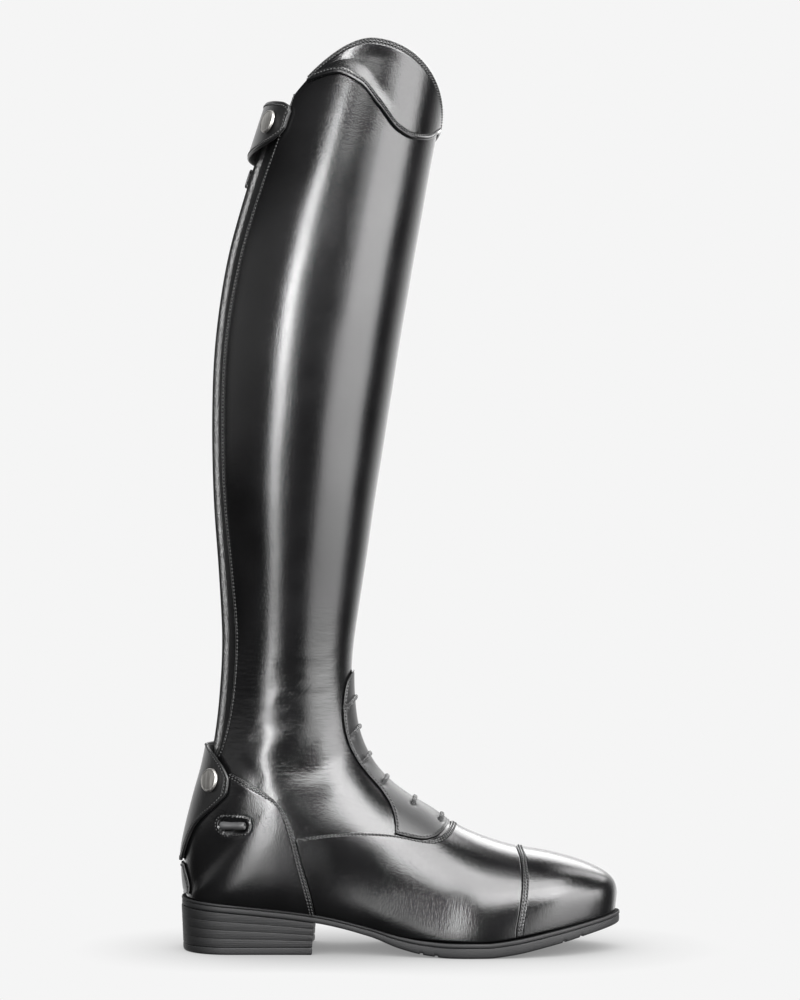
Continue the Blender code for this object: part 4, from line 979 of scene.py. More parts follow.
def start_look(name, roughness=0.5, metallic=0.0, coat=0.0, sheen=0.0, specular=0.5):
    """A material with its Principled shader's plain values set."""
    look = bpy.data.materials.new(name)
    look.use_nodes = True
    tree = look.node_tree
    shader = tree.nodes["Principled BSDF"]
    for socket, value in (
        ("Roughness", roughness),
        ("Metallic", metallic),
        ("Coat Weight", coat),
        ("Coat Roughness", COAT_ROUGHNESS),
        ("Sheen Weight", sheen),
        ("Specular IOR Level", specular),
    ):
        shader.inputs[socket].default_value = value
    place = node(tree, "ShaderNodeTexCoord").outputs["Object"]
    return look, tree, shader, place


def spread(tree, value, low, high):
    """The middle of a noise's range spread between two values."""
    first, last = NOISE_RANGE
    values = {"Value": value, "From Min": first, "From Max": last, "To Min": low, "To Max": high}
    return node(tree, "ShaderNodeMapRange", values).outputs["Result"]


def tinted(tree, value, dark, light):
    """A colour between a dark and a light one."""
    ramp = node(tree, "ShaderNodeValToRGB", {"Fac": value})
    for element, position, colour in zip(ramp.color_ramp.elements, NOISE_RANGE, (dark, light)):
        element.position = position
        element.color = (*colour, 1.0)
    return ramp.outputs["Color"]


def leather(name, dark, light, smooth, dull, coat=0.0, grain=0.2, wrinkle=0.0, scale=1500.0):
    """Dyed leather under polish: clouded colour and gloss, pores and, on the leg, fine bending lines."""
    look, tree, shader, place = start_look(name, coat=coat)
    pores = node(tree, "ShaderNodeGroup", {"Vector": place, "Scale": scale}, node_tree=GRAIN).outputs
    tree.links.new(tinted(tree, pores["Cloud"], dark, light), shader.inputs["Base Color"])
    tree.links.new(spread(tree, pores["Cloud"], smooth, dull), shader.inputs["Roughness"])
    normal = bumped(tree, pores["Height"], grain, 0.0004)
    if wrinkle:
        bends = node(tree, "ShaderNodeGroup", {"Vector": place}, node_tree=WRINKLES).outputs
        normal = bumped(tree, bends["Height"], wrinkle, 0.0012, normal)
    tree.links.new(normal, shader.inputs["Normal"])
    return look


def rubber(name, dark, light, roughness, lines=0.0, specular=0.4):
    """Moulded rubber or edge-dyed lifts: speckled, with fine level scratches where it was trimmed."""
    look, tree, shader, place = start_look(name, roughness=roughness, specular=specular)
    pores = node(tree, "ShaderNodeGroup", {"Vector": place, "Scale": 1100.0}, node_tree=GRAIN).outputs
    tree.links.new(tinted(tree, pores["Cloud"], dark, light), shader.inputs["Base Color"])
    normal = bumped(tree, pores["Height"], 0.12, 0.0003)
    if lines:
        cuts = noise(tree, drawn_out(tree, place, (30.0, 30.0, 1700.0)))
        normal = bumped(tree, cuts, lines, 0.0004, normal)
    tree.links.new(normal, shader.inputs["Normal"])
    return look


def woven(name, dark, light, width, height, roughness, strength, sheen=0.2, specular=0.3):
    """Knitted or woven stuff seen from behind: offset rows of small ribs, as bricks in y and z."""
    look, tree, shader, place = start_look(name, roughness=roughness, sheen=sheen, specular=specular)
    turned = drawn_out(tree, place, (1.0, 1.0, 1.0), math.pi / 2)
    flat = node(tree, "ShaderNodeSeparateXYZ", {"Vector": turned}).outputs
    drawn = node(tree, "ShaderNodeCombineXYZ", {"X": flat["X"], "Y": flat["Y"]})
    ribs = node(
        tree,
        "ShaderNodeTexBrick",
        {
            "Vector": drawn.outputs["Vector"],
            "Color1": (*light, 1.0),
            "Color2": (*dark, 1.0),
            "Mortar": (0.002, 0.002, 0.002, 1.0),
            "Scale": 1.0,
            "Mortar Size": 0.00018,
            "Mortar Smooth": 1.0,
            "Brick Width": height,
            "Row Height": width,
        },
    )
    tree.links.new(ribs.outputs["Color"], shader.inputs["Base Color"])
    normal = bumped(tree, ribs.outputs["Fac"], strength, 0.0005, invert=True)
    tree.links.new(normal, shader.inputs["Normal"])
    return look


def metal(name, dark, light, smooth, dull, stretch=(40.0, 40.0, 900.0)):
    """Plated metal with fine rubbing marks along one direction."""
    look, tree, shader, place = start_look(name, metallic=1.0)
    marks = noise(tree, drawn_out(tree, place, stretch), detail=4.0)
    tree.links.new(tinted(tree, marks, dark, light), shader.inputs["Base Color"])
    tree.links.new(spread(tree, marks, smooth, dull), shader.inputs["Roughness"])
    return look


POLISHED = leather(
    "polished_leather",
    (0.002, 0.002, 0.0021),
    (0.004, 0.004, 0.0042),
    0.16,
    0.21,
    coat=0.12,
    grain=0.18,
    wrinkle=0.2,
    scale=1400.0,
)
SATIN = leather(
    "satin_leather", (0.003, 0.003, 0.0031), (0.006, 0.006, 0.0062), 0.32, 0.4, grain=0.17, scale=1150.0
)
PANEL = leather("panel_leather", (0.004, 0.004, 0.0042), (0.007, 0.007, 0.0073), 0.36, 0.44)
LINING = leather("lining_leather", (0.012, 0.012, 0.012), (0.02, 0.02, 0.02), 0.6, 0.7)
FACING = leather(
    "facing_leather", (0.003, 0.003, 0.0031), (0.006, 0.006, 0.0062), 0.28, 0.36, grain=0.3, scale=900.0
)
# painted highlight: the spur roll's black leather is given a base colour about ten times lighter than the
# rest, standing in for the broad light on its top
ROLL_PAINTED_HIGHLIGHT = leather("spur_roll", (0.03, 0.03, 0.0306), (0.044, 0.044, 0.0446), 0.4, 0.48, grain=0.1)
INSOLE = leather("insole_leather", (0.024, 0.022, 0.02), (0.034, 0.032, 0.03), 0.6, 0.7)
THREAD = leather(
    "waxed_thread", (0.01, 0.01, 0.01), (0.018, 0.018, 0.018), 0.45, 0.55, grain=0.1, scale=4000.0
)
SOLE = rubber("sole_rubber", (0.007, 0.007, 0.0074), (0.01, 0.01, 0.0104), 0.6, specular=0.3)
# painted shade: the welt's top ledge, in the crevice under the upper, is near-black and dull where the sole's
# rubber would be
WELT_LEDGE_PAINTED_SHADE = rubber("painted_shade_welt_ledge", (0.001, 0.001, 0.001), (0.002, 0.002, 0.002), 0.8, specular=0.1)
HEEL = rubber("heel_lifts", (0.005, 0.005, 0.0053), (0.009, 0.009, 0.0094), 0.6, lines=0.5, specular=0.3)
ELASTIC = woven(
    "elastic_knit", (0.002, 0.002, 0.0022), (0.006, 0.006, 0.0064), 0.0011, 0.0032, 0.8, 0.6, 0.0, 0.06
)
TAPE = woven("zip_tape", (0.006, 0.006, 0.0065), (0.011, 0.011, 0.0115), 0.0006, 0.0012, 0.7, 0.4)
TEETH = rubber("zip_teeth", (0.008, 0.008, 0.0085), (0.012, 0.012, 0.0125), 0.22)
ZIP_METAL = metal("zip_metal", (0.035, 0.035, 0.036), (0.06, 0.06, 0.062), 0.25, 0.4)
SNAP_METAL = metal("snap_metal", (0.3, 0.29, 0.275), (0.48, 0.47, 0.45), 0.42, 0.54, (900.0, 300.0, 60.0))
CORD = woven("lace_cord", (0.008, 0.008, 0.0085), (0.014, 0.014, 0.0145), 0.0005, 0.0011, 0.7, 0.5)


# Upper: one shell of foot and leg


def finer(grid, lines, places):
    """The same grid at other places along its lines and across them, by smooth curves through its points."""
    for at in (lines, places):
        knots = np.arange(float(len(grid)))
        flat = grid.reshape(len(grid), -1)
        slopes = np.gradient(flat, axis=0)
        flat = hermite(knots, flat, slopes, slopes, np.asarray(at) * (len(grid) - 1))
        grid = flat.reshape((len(at),) + grid.shape[1:]).swapaxes(0, 1)
    return grid


def even_columns(low, count, span=115.0):
    """Columns across a section of the foot, closer together next to both low edges."""
    close = low + EDGE_STEPS / span
    middle = np.linspace(close[-1], 1 - close[-1], count + 2)[1:-1]
    return np.concatenate((close, middle, 1 - close[::-1]))


SLOT_ROW = 2.2  # stitch rows beside the elastic and beside the zip
ZIP_ROW = 2.8


def leg_area():
    """Rows and columns of the whole shell, from one edge of the back opening round to the other."""
    toe, ankle = np.linspace(0.0, 10.0, 24), np.linspace(10.0, 23.0, 76)
    rows = np.concatenate((toe, ankle[1:], np.linspace(23.0, TRIM_ROW, 52)[1:]))
    all_columns = np.linspace(0.0, 1.0, 500)
    collar = row_at_height(all_columns, collar_height(all_columns))
    shares = np.concatenate((np.linspace(0.0, 0.96, 26)[1:], (0.972, 0.982, 0.99, 0.995, 0.9985, 1.0)))
    plain = np.concatenate((rows, TRIM_ROW + shares * (collar.mean() - TRIM_ROW)))
    outer = slot_column(plain, SLOT_LATERAL)
    inner = slot_column(plain, SLOT_MEDIAL)
    near = SEAM_STEPS[:14]
    area = web(pairs(plain, outer), pairs(plain, 1 - inner), near, near, 128)
    top = len(rows)
    lean = np.interp(area[:, top:, 1], all_columns, collar)
    area[:, top:, 0] = TRIM_ROW + shares * (lean - TRIM_ROW)
    return area, outer > 1e-4


def leg():
    area, opened = leg_area()
    face, out = on_upper(area)

    def relief(face, away, nearest):
        seams = groove(away["start"], SLOT_ROW) + groove(away["end"], ZIP_ROW)
        return folded(face) + np.where(opened, seams, 0.0)

    free = opened | (area[0, :, 0] < LEG_START)
    parts = [sheet(face, out, -WALL, WALL, {"start": free, "end": free, "right": True}, relief)]
    for side, distance in (("start", SLOT_ROW), ("end", ZIP_ROW)):
        points, directions = line_at(face, out, side, distance)
        shown = opened & (points[:, 2] > SLOT_FULL)
        stitch(points[shown], directions[shown], -THREAD_SINK)
    add_piece("upper_leather", parts, (POLISHED, LINING), ("upper",))


# Overlays of the foot


def cap_row(column, shift):
    """Row at which the toe cap's seam crosses each column."""
    seam = sorted((z, x) for x, z in CAP_SEAM)
    rows = np.linspace(0.5, LEG_START - 4.0, 700)
    points = skin(rows[:, None], column[None, :])
    past = steady(seam, 1, points[..., 2]) - shift - points[..., 0]
    return np.array([np.interp(0.0, past[:, i], rows) for i in range(past.shape[1])])


def seam_on_skin(points, count, on_ridge=False):
    """Rows and columns along a seam drawn from the side; its first point may lie on the ridge."""
    drawn = through(points, count)
    found = from_side(drawn)
    if on_ridge:
        rows = np.linspace(0.0, LAST_ROW, 2000)
        away = np.linalg.norm(skin(rows, 0.5)[:, (0, 2)] - drawn[0], axis=1)
        found[0] = (rows[np.argmin(away)], 0.5)
    return found


def row_along(seam, columns):
    order = np.argsort(seam[:, 1])
    return np.interp(columns, seam[order, 1], seam[order, 0])


def shifted(line, x, z):
    return [(a + x, b + z) for a, b in line]


LOW_COLUMN = 0.026  # where the overlays start above the welt
SPUR_ROW = 1.8  # stitch row round the spur rest's slot
SLOT_SINK = 1.3  # depth of that slot, and height of its lip
SLOT_LIP = 0.3


def seam_rows(face, out, side, lift, distances=(FIRST_ROW, SECOND_ROW), shown=slice(None), folds=0.0):
    """Rows of stitches along one side of a layer, which rise and sink with their share of its folds."""
    for distance in distances:
        points, directions = line_at(face, out, side, distance)
        points = points + directions * folded(points, folds)[:, None]
        stitch(points[shown], directions[shown], lift - THREAD_SINK)


def toe_cap():
    columns = even_columns(LOW_COLUMN, 120)
    end = cap_row(np.clip(columns, 2 * WELT_EDGE, 1 - 2 * WELT_EDGE), 0.0)
    area = web(pairs(0.0, columns), pairs(end, columns), np.zeros(1), SEAM_STEPS, 46)
    face, out = on_upper(area)

    def relief(face, away, nearest):
        return folded(face, CAP_FOLDS) + double_groove(away["end"])

    parts = [sheet(face, out, GAP, CAP_THICK, {"end": True, "left": True, "right": True}, relief)]
    seam_rows(face, out, "end", GAP + CAP_THICK, shown=slice(8, -8), folds=CAP_FOLDS)
    add_piece("toe_cap_leather", parts, (POLISHED, LINING), ("toe_cap",))


def vamp():
    columns = even_columns(LOW_COLUMN, 160)
    outer = np.minimum(columns, 1 - columns)
    throat = seam_on_skin(shifted(THROAT_SEAM, THROAT_GAP, -THROAT_GAP), 90, on_ridge=True)
    rear = from_side(through(shifted(COUNTER_SEAM[COUNTER_CORNER:], SEAM_GAP, 0.0), 40))
    back = row_along(np.concatenate((throat, rear[rear[:, 1] < throat[-1, 1]])), outer)
    front = cap_row(np.clip(columns, 2 * WELT_EDGE, 1 - 2 * WELT_EDGE), SEAM_GAP)
    area = web(pairs(front, columns), pairs(back, columns), EDGE_STEPS, SEAM_STEPS, 70)
    face, out = on_upper(area)
    on_throat = outer > throat[-1, 1]

    def relief(face, away, nearest):
        return folded(face) + np.where(on_throat, double_groove(away["end"]), 0.0)

    parts = [sheet(face, out, PANEL_LIFT, VAMP_THICK, ALL_SIDES, relief)]
    seam_rows(face, out, "end", PANEL_LIFT + VAMP_THICK, shown=on_throat, folds=1.0)
    add_piece("vamp_leather", parts, (POLISHED, LINING), ("vamp",))


def spur_slot(points):
    """Distance from the border of the rounded slot that holds the spur rest, as seen from the side."""
    across = np.maximum(np.abs(points[..., 0] - SPUR_REST_X) - SPUR_SLOT[0] / 2 + SPUR_SLOT[1] / 2, 0.0)
    return np.hypot(across, points[..., 2] - SPUR_REST_Z) - SPUR_SLOT[1] / 2


def counter():
    seam = from_side(through(COUNTER_SEAM, 90))
    tip = int(np.argmax(seam[:, 1]))
    rows = np.linspace(LEG_START, LAST_ROW, 1200)
    back_top = np.interp(COUNTER_BACK_TOP, skin(rows, 0.0)[:, 2], rows)
    columns = np.concatenate((EDGE_STEPS / 110.0, np.linspace(0.02, seam[tip, 1], 112)))
    front = row_along(seam[tip:], columns)
    top = row_along(np.concatenate((seam[: tip + 1], ((back_top, 0.0),))), columns)
    outer = web(pairs(front, columns), pairs(top, columns), SEAM_STEPS, SEAM_STEPS, 60)
    low = outer[:, :1, 0] < LEG_START

    def relief(face, away, nearest):
        slot = spur_slot(face)
        sunk = SLOT_SINK * (smooth_step(slot, -0.5, 0.35) - 1) + SLOT_LIP * bell(slot - 1.0, 0.7)
        seams = double_groove(away["start"]) + double_groove(away["end"])
        return folded(face, COUNTER_FOLDS) + sunk + seams + groove(slot, SPUR_ROW)

    parts = []
    for area in (outer, mirrored(outer)):
        face, out = on_upper(area)
        parts.append(sheet(face, out, GAP, COUNTER_THICK, {"start": True, "end": True, "left": low}, relief))
        for side in ("start", "end"):
            seam_rows(face, out, side, GAP + COUNTER_THICK, folds=COUNTER_FOLDS)
    around = np.linspace(0.0, 2 * math.pi, 120)
    half = SPUR_SLOT[0] / 2 - SPUR_SLOT[1] / 2
    reach = SPUR_SLOT[1] / 2 + SPUR_ROW
    along = half * np.clip(3 * np.cos(around), -1, 1) + reach * np.cos(around)
    ring = from_side(np.stack((along, reach * np.sin(around)), axis=-1) + (SPUR_REST_X, SPUR_REST_Z))
    for area in (ring, mirrored(ring)):
        points, directions = on_upper(area)
        points = points + directions * folded(points, COUNTER_FOLDS)[:, None]
        stitch(points, directions, GAP + COUNTER_THICK - THREAD_SINK, pitch=2.0, length=1.5)
    add_piece("counter_leather", parts, (POLISHED, LINING), ("counter",))


PANEL_FACE = 1.0  # the panel's edge is thinned where it shows
LACE_DIVE = 0.72  # share of a bar's half after which it dives
LACE_END = 0.008  # how far past its reach it runs into its hole, as a share of the section
LACE_DEPTH = 1.4  # how deep its ends lie, past its radius
LACE_SEAT = 0.8  # a cord lies on the panel with this share of its half height


def lace_paths():
    """For each lace bar the middle line of its cord over the ridge, which dives into a hole at both ends."""
    top = PANEL_LIFT + PANEL_FACE + LACE_SEAT * LACE_FLAT * LACE_RADIUS
    share = np.linspace(-1.0, 1.0, 61)
    dive = smooth_step(np.abs(share), LACE_DIVE, 1.0)
    columns = 0.5 + share * (LACE_REACH + LACE_END)
    for row in ridge_row(LACE_HEIGHTS):
        yield lifted(np.full(len(share), row), columns, top - dive * (LACE_RADIUS + LACE_DEPTH))


def panel():
    edge = seam_on_skin(PANEL_EDGE, 100, on_ridge=True)
    throat = seam_on_skin(shifted(THROAT_SEAM, 0.0, THROAT_GAP), 140, on_ridge=True)
    throat = throat[throat[:, 0] < edge[-1, 0]]
    outline = np.concatenate((edge, throat[::-1]))[::-1]
    first, last = outline[0, 0], outline[-1, 0]
    rows = first + (last - first) * (0.5 * eased(130) + 0.5 * np.linspace(0.0, 1.0, 130))
    side = np.interp(rows, outline[:, 0], outline[:, 1])
    area = web(pairs(rows, side), pairs(rows, 1 - side), SEAM_STEPS, SEAM_STEPS, 62)
    face, out = on_upper(area)
    steps = np.linspace(0.0, 1.0, 1200) * (len(outline) - 1)
    fine = resampled(steps, np.arange(len(outline)), outline)
    border = skin(*np.concatenate((fine, mirrored(fine))).T)
    from_border = np.array([np.linalg.norm(line[:, None] - border, axis=-1).min(axis=1) for line in face])
    holes = np.concatenate([points[[3, -4]] for points, _ in lace_paths()])

    def relief(face, away, nearest):
        dents = sum(np.exp(-(((face - hole) ** 2).sum(axis=-1)) / 5.0) for hole in holes)
        return wave_relief(face) - np.minimum(dents, 1.0) + groove(from_border, FIRST_ROW)

    parts = [sheet(face, out, PANEL_LIFT, PANEL_FACE, {}, relief, from_border)]
    middle = face.mean(axis=(0, 1))
    kept = slice(60, -40)
    for line in (fine, mirrored(fine)):
        points, outward = on_upper(line)
        inward = unit(np.cross(outward, np.gradient(points, axis=0)))
        if ((middle - points) * inward).sum() < 0:
            inward = -inward
        stitch((points + inward * FIRST_ROW)[kept], outward[kept], PANEL_LIFT + PANEL_FACE - THREAD_SINK)
    add_piece("lacing_panel_leather", parts, (PANEL, LINING), ("lacing_panel",))


def laces():
    """Cords of two strands: a ring of points whose radius waves twice round and turns along the cord."""
    around = circle(14)
    for number, (points, out) in enumerate(lace_paths(), 1):
        ahead = unit(np.gradient(points, axis=0))
        side = np.cross(out, ahead)
        run = lengths_along(points)
        wave = 1 + 0.1 * np.cos(2 * around[None, :] - 1.6 * run[:, None])
        radius = (LACE_RADIUS * wave)[..., None]
        wide = np.cos(around)[None, :, None] * side[:, None]
        tall = LACE_FLAT * np.sin(around)[None, :, None] * out[:, None]
        ends = [np.repeat(points[[i]], len(around), axis=0) for i in (0, -1)]
        rings = np.concatenate((ends[:1], points[:, None] + radius * (wide + tall), ends[1:]))
        add_piece(f"lace_cord_{number}", [solid(rings, flip=True)], (CORD,), (f"lace_bar_{number}",))


# Cuff of the raised top

CUFF_BEAD = (0.55, 1.3, 0.9)  # rounded lower edge: height, place from the edge, reach
CUFF_DENT = (0.9, 114.0, 15.0)  # soft hollow in its side: depth, place along the boot, reach


def cuff():
    first, last = CUFF_EDGE[0][0], CUFF_EDGE[-1][0]
    even = np.linspace(first + 2.0, last - EDGE_STEPS[-1], 196)
    turns = np.concatenate((first + EDGE_STEPS, even, last - EDGE_STEPS[::-1]))
    columns = 0.5 + turns / 360.0
    low = row_at_height(columns, steady(CUFF_EDGE, 1, turns))
    high = row_at_height(columns, collar_height(columns) - 0.3)
    low = np.minimum(low, high - 0.03)
    area = web(pairs(low, columns), pairs(high, columns), SEAM_STEPS, SEAM_STEPS, 30)
    face, out = on_upper(area)

    def relief(face, away, nearest):
        bead = CUFF_BEAD[0] * bell(away["start"] - CUFF_BEAD[1], CUFF_BEAD[2])
        seams = groove(away["start"], CUFF_ROW) + double_groove(away["end"])
        dent = CUFF_DENT[0] * bell(face[..., 0] - CUFF_DENT[1], CUFF_DENT[2])
        return wave_relief(face) + bead + seams - dent * smooth_step(nearest, 2.0, 12.0)

    parts = [sheet(face, out, GAP, CUFF_THICK, ALL_SIDES, relief)]
    seam_rows(face, out, "start", GAP + CUFF_THICK, (CUFF_ROW,))
    seam_rows(face, out, "end", GAP + CUFF_THICK)
    add_piece("cuff_leather", parts, (POLISHED, LINING), ("spanish_cuff",))


# Back closing


def back_face(left, right, low, high, lines, places):
    """Face of the upper between two edges seen from behind, found at a few places and made fine between."""
    heights = np.linspace(low, high, 26)[:, None]
    share = np.linspace(0.0, 1.0, 7)[None, :]
    y = back_y(left, heights) * (1 - share) + back_y(right, heights) * share
    face, out = seen_behind(y, heights)
    return finer(face, lines, places), unit(finer(out, lines, places))


def beside(edge, distance):
    return edge[0] + distance, edge[1] + distance


def shaped(value, power):
    return np.sign(value) * np.abs(value) ** power


FACING_FACE = 0.3  # the strip between elastic and zip stands level with the leather
EDGE_DEPTH = 3.4  # the elastic lies this deep beside the leather
FACING_DEPTH = 6.4  # and this deep beside the strip


def back_strips():
    low, high = SLOT_FULL - 6.0, COLLAR_MEAN - 1.0
    tall = np.linspace(0.0, 1.0, 150)
    places = eased(26)
    face, out = back_face(beside(SLOT_LATERAL, -TUCK), FACING_Y[0], low, high, tall, places)
    chord = EDGE_DEPTH + (FACING_DEPTH - EDGE_DEPTH) * np.sin(places * math.pi / 2)
    parts = [sheet(face, out, -chord[None, :], ELASTIC_THICK, ALL_SIDES)]
    add_piece("elastic_knit", parts, (ELASTIC,), ("elastic_panel",))
    face, out = back_face(*FACING_Y, low, high, tall, eased(24))
    parts = [sheet(face, out, -FACING_DEPTH, FACING_DEPTH + FACING_FACE, ALL_SIDES, squeeze=0.4)]
    add_piece("zip_facing_leather", parts, (FACING,), ("zip_facing",))
    face, out = back_face(FACING_Y[1], beside(SLOT_MEDIAL, TUCK), low, high, tall, eased(20))
    parts = [sheet(face, out, -WALL - TUCK_DEPTH, TAPE_THICK, ALL_SIDES)]
    add_piece("zip_tape_weave", parts, (TAPE,), ("zip_tape",))


TOOTH = (3.5, 1.7, 1.05)  # across, out, along
TOOTH_PITCH = 1.35
TOOTH_OFFSET = 1.15  # teeth stand this far to either side in turn
CORNER = 0.45  # power that squares a rounded shape


def block(frames, size, power=CORNER, lines=7, places=10):
    """Rounded blocks: points of a superellipsoid, whose cosines and sines are raised to a power below one."""
    low = np.linspace(-math.pi / 2, math.pi / 2, lines)
    around = circle(places)
    level = shaped(np.cos(low), power)[:, None]
    ring = np.stack(
        (
            level * shaped(np.cos(around), power)[None, :] * size[0] / 2,
            level * shaped(np.sin(around), power)[None, :] * size[1] / 2,
            np.repeat(shaped(np.sin(low), power)[:, None] * size[2] / 2, places, axis=1),
        ),
        axis=-1,
    )
    ring[[0, -1], :, :2] = 0.0
    points = np.concatenate([f[0] + ring.reshape(-1, 3) @ np.stack(f[1:]) for f in frames])
    triangles = copies(grid_triangles(lines, places, around=True), lines * places, len(frames))
    return points, triangles, np.zeros(len(triangles), int)


def back_line(edges, low, high, count):
    """Middle line between two edges seen from behind: points, sideways, outward and upward directions."""
    heights = np.linspace(low, high, 40)
    points, out = seen_behind(sum(back_y(edge, heights) for edge in edges) / 2, heights)
    run = lengths_along(points)
    at = np.linspace(0.0, run[-1], count)
    points, out = resampled(at, run, points), unit(resampled(at, run, out))
    up = unit(np.gradient(points, axis=0))
    return points, unit(np.cross(out, up)), out, up


CHAIN_LIFT = -WALL - TUCK_DEPTH + GAP + 0.9


def zip_chain():
    low = SLOT_FULL - 4.0
    count = int((CHAIN_TOP - low) / TOOTH_PITCH)
    points, across, out, up = back_line(CHAIN_Y, low, CHAIN_TOP, count)
    swing = np.where(np.arange(count) % 2 == 0, 1.0, -1.0)[:, None]
    middles = points + out * CHAIN_LIFT + across * swing * TOOTH_OFFSET
    parts = [block(list(zip(middles, across, out, up)), TOOTH, lines=6, places=8)]
    add_piece("zip_teeth", parts, (TEETH,), ("zip_chain",))


# Closing flaps


def edge_shares(length, near, count):
    """Shares of a length: close steps at both ends, even steps between."""
    near = near[near < 0.45 * length]
    middle = np.linspace(near[-1], length - near[-1], count + 2)[1:-1]
    return np.concatenate((near, middle, length - near[::-1])) / length


def edge_places(first, last, near, count):
    """Places from a first to a last one, close together at both ends."""
    return first + (last - first) * edge_shares(last - first, near, count)


def heel_flap():
    heights = edge_places(HEEL_FLAP[0][0], HEEL_FLAP[-1][0], SEAM_STEPS, 44)
    left = steady(HEEL_FLAP, 1, heights)[:, None]
    right = steady(HEEL_FLAP, 2, heights)[:, None]
    shares = edge_shares(40.0, SEAM_STEPS, 34)[None, :]
    face, out = seen_behind(left + (right - left) * shares, heights[:, None])

    def relief(face, away, nearest):
        return wave_relief(face) + groove(nearest, FLAP_ROW)

    parts = [sheet(face, out, HEEL_FLAP_LIFT, FLAP_THICK, ALL_SIDES, relief)]
    for side in ALL_SIDES:
        seam_rows(face, out, side, HEEL_FLAP_LIFT + FLAP_THICK, (FLAP_ROW,))
    add_piece("heel_flap_leather", parts, (SATIN, LINING), ("heel_flap",))


def top_flap():
    first, last = TOP_FLAP[0][0], TOP_FLAP[-1][0]
    places = edge_places(first, last, SEAM_STEPS, 56)
    low = steady(TOP_FLAP, 1, places)[None, :]
    high = steady(TOP_FLAP, 2, places)[None, :]
    shares = edge_shares(28.0, SEAM_STEPS, 16)[:, None]
    face, out = seen_behind(places[None, :], low + (high - low) * shares)
    bow = np.sqrt(np.sin(np.linspace(0.0, math.pi, 200)).clip(0.0))
    bowed = np.interp((places - first) / (last - first), np.linspace(0.0, 1.0, 200), bow)
    lift = GAP + (TOP_FLAP_LIFT - GAP) * bowed

    def relief(face, away, nearest):
        return lift[None, :] - GAP + groove(nearest, FLAP_ROW)

    parts = [sheet(face, out, GAP, TOP_FLAP_THICK, ALL_SIDES, relief)]
    raised = face + out * (lift[None, :, None] + TOP_FLAP_THICK - THREAD_SINK)
    for side, spare in (("start", 6), ("end", 6), ("left", 8), ("right", 8)):
        points, directions = line_at(raised, out, side, FLAP_ROW)
        stitch(points[spare:-spare], directions[spare:-spare], 0.0)
    add_piece("top_flap_leather", parts, (SATIN, LINING), ("top_flap",))


def heel_patch():
    heights = edge_places(HEEL_PATCH[0][0], HEEL_PATCH[-1][0], SEAM_STEPS[:11], 8)
    half = steady(HEEL_PATCH, 1, heights)[:, None]
    shares = edge_shares(26.0, SEAM_STEPS[:11], 26)[None, :]
    face, out = seen_behind(half * (2 * shares - 1), heights[:, None])

    def relief(face, away, nearest):
        return groove(nearest, PATCH_ROW)

    parts = [sheet(face, out, PATCH_LIFT, PATCH_THICK, ALL_SIDES, relief)]
    for side in ("end", "left", "right"):
        seam_rows(face, out, side, PATCH_LIFT + PATCH_THICK, (PATCH_ROW,))
    add_piece("heel_patch_leather", parts, (SATIN, LINING), ("heel_patch",))


# Fittings

SNAP_SHAPE = (  # radius, height: a shallow dome inside a thin raised rim
    (0.0, 2.1),
    (2.2, 2.06),
    (4.2, 1.9),
    (5.5, 1.66),
    (6.0, 1.5),
    (6.2, 1.62),
    (6.45, 1.72),
    (6.75, 1.66),
    (7.0, 1.36),
    (7.2, 0.9),
    (7.3, 0.3),
    (7.3, 0.0),
    (0.0, 0.0),
)
ROLL_END = (  # radius, place along the roll: the hollow and the rounded lip of one end
    (0.0, -6.2),
    (1.0, -6.3),
    (1.3, -7.2),
    (1.5, -7.8),
    (1.9, -8.0),
    (2.2, -7.7),
    (2.3, -7.0),
)
PULL_RIM = (  # share of the way from the outer to the inner outline, level
    (0.0, -0.5),
    (0.0, 0.5),
    (0.12, 0.9),
    (0.3, 1.0),
    (0.8, 1.0),
    (1.0, 0.75),
    (1.0, -0.75),
    (0.8, -1.0),
    (0.3, -1.0),
    (0.12, -0.9),
)


def snap(name, place, lift, replaced):
    """A press stud: its profile turned about the leather's outward direction."""
    row, column = from_behind(np.array([place[0]]), np.array([place[1]]))
    points, out = lifted(row, column, np.array([lift]))
    side = unit(np.cross((0.0, 0.0, 1.0), out[0]))
    ring = ring_about(side, np.cross(out[0], side), 48)
    rings = [points[0] + out[0] * height + radius * ring for radius, height in SNAP_SHAPE]
    add_piece(name, [solid(rings, flip=True)], (SNAP_METAL,), (replaced,))


def spur_rests():
    """Rolls of leather along the slot, hollow at both ends."""
    waist = [(SPUR_REST_RADIUS - 0.08 * math.cos(s / 1.8), s) for s in np.linspace(-6.0, 6.0, 15)]
    profile = [*ROLL_END, *waist, *((radius, -along) for radius, along in ROLL_END[::-1])]
    found = from_side(np.array(((SPUR_REST_X, SPUR_REST_Z),)))
    for side, area in (("lateral", found), ("medial", mirrored(found))):
        points, out = lifted(area[:, 0], area[:, 1], np.array([2 * GAP + SPUR_REST_RADIUS]))
        ahead = unit(np.array((1.0, 0.0, 0.0)) - out[0] * out[0, 0])
        ring = ring_about(out[0], np.cross(out[0], ahead), 20)
        rings = [points[0] + ahead * along + radius * ring for radius, along in profile]
        parts = [solid(rings, flip=side == "medial")]
        add_piece(f"spur_roll_{side}", parts, (ROLL_PAINTED_HIGHLIGHT,), (f"spur_rest_{side}",))


def zip_frame():
    """Seat of the slider: its middle on the teeth, with directions across, out and up the leg."""
    y = np.array([sum(back_y(edge, SLIDER_Z) for edge in CHAIN_Y) / 2])
    row, column = from_behind(y, np.array([SLIDER_Z]))
    points, out = lifted(row, column, np.array([CHAIN_THICK - WALL - TUCK_DEPTH + 2 * GAP]))
    above = skin(row + 0.05, column)[0] - skin(row - 0.05, column)[0]
    out = out[0]
    up = unit(above - out * (above * out).sum())
    return points[0], -np.cross(up, out), out, up


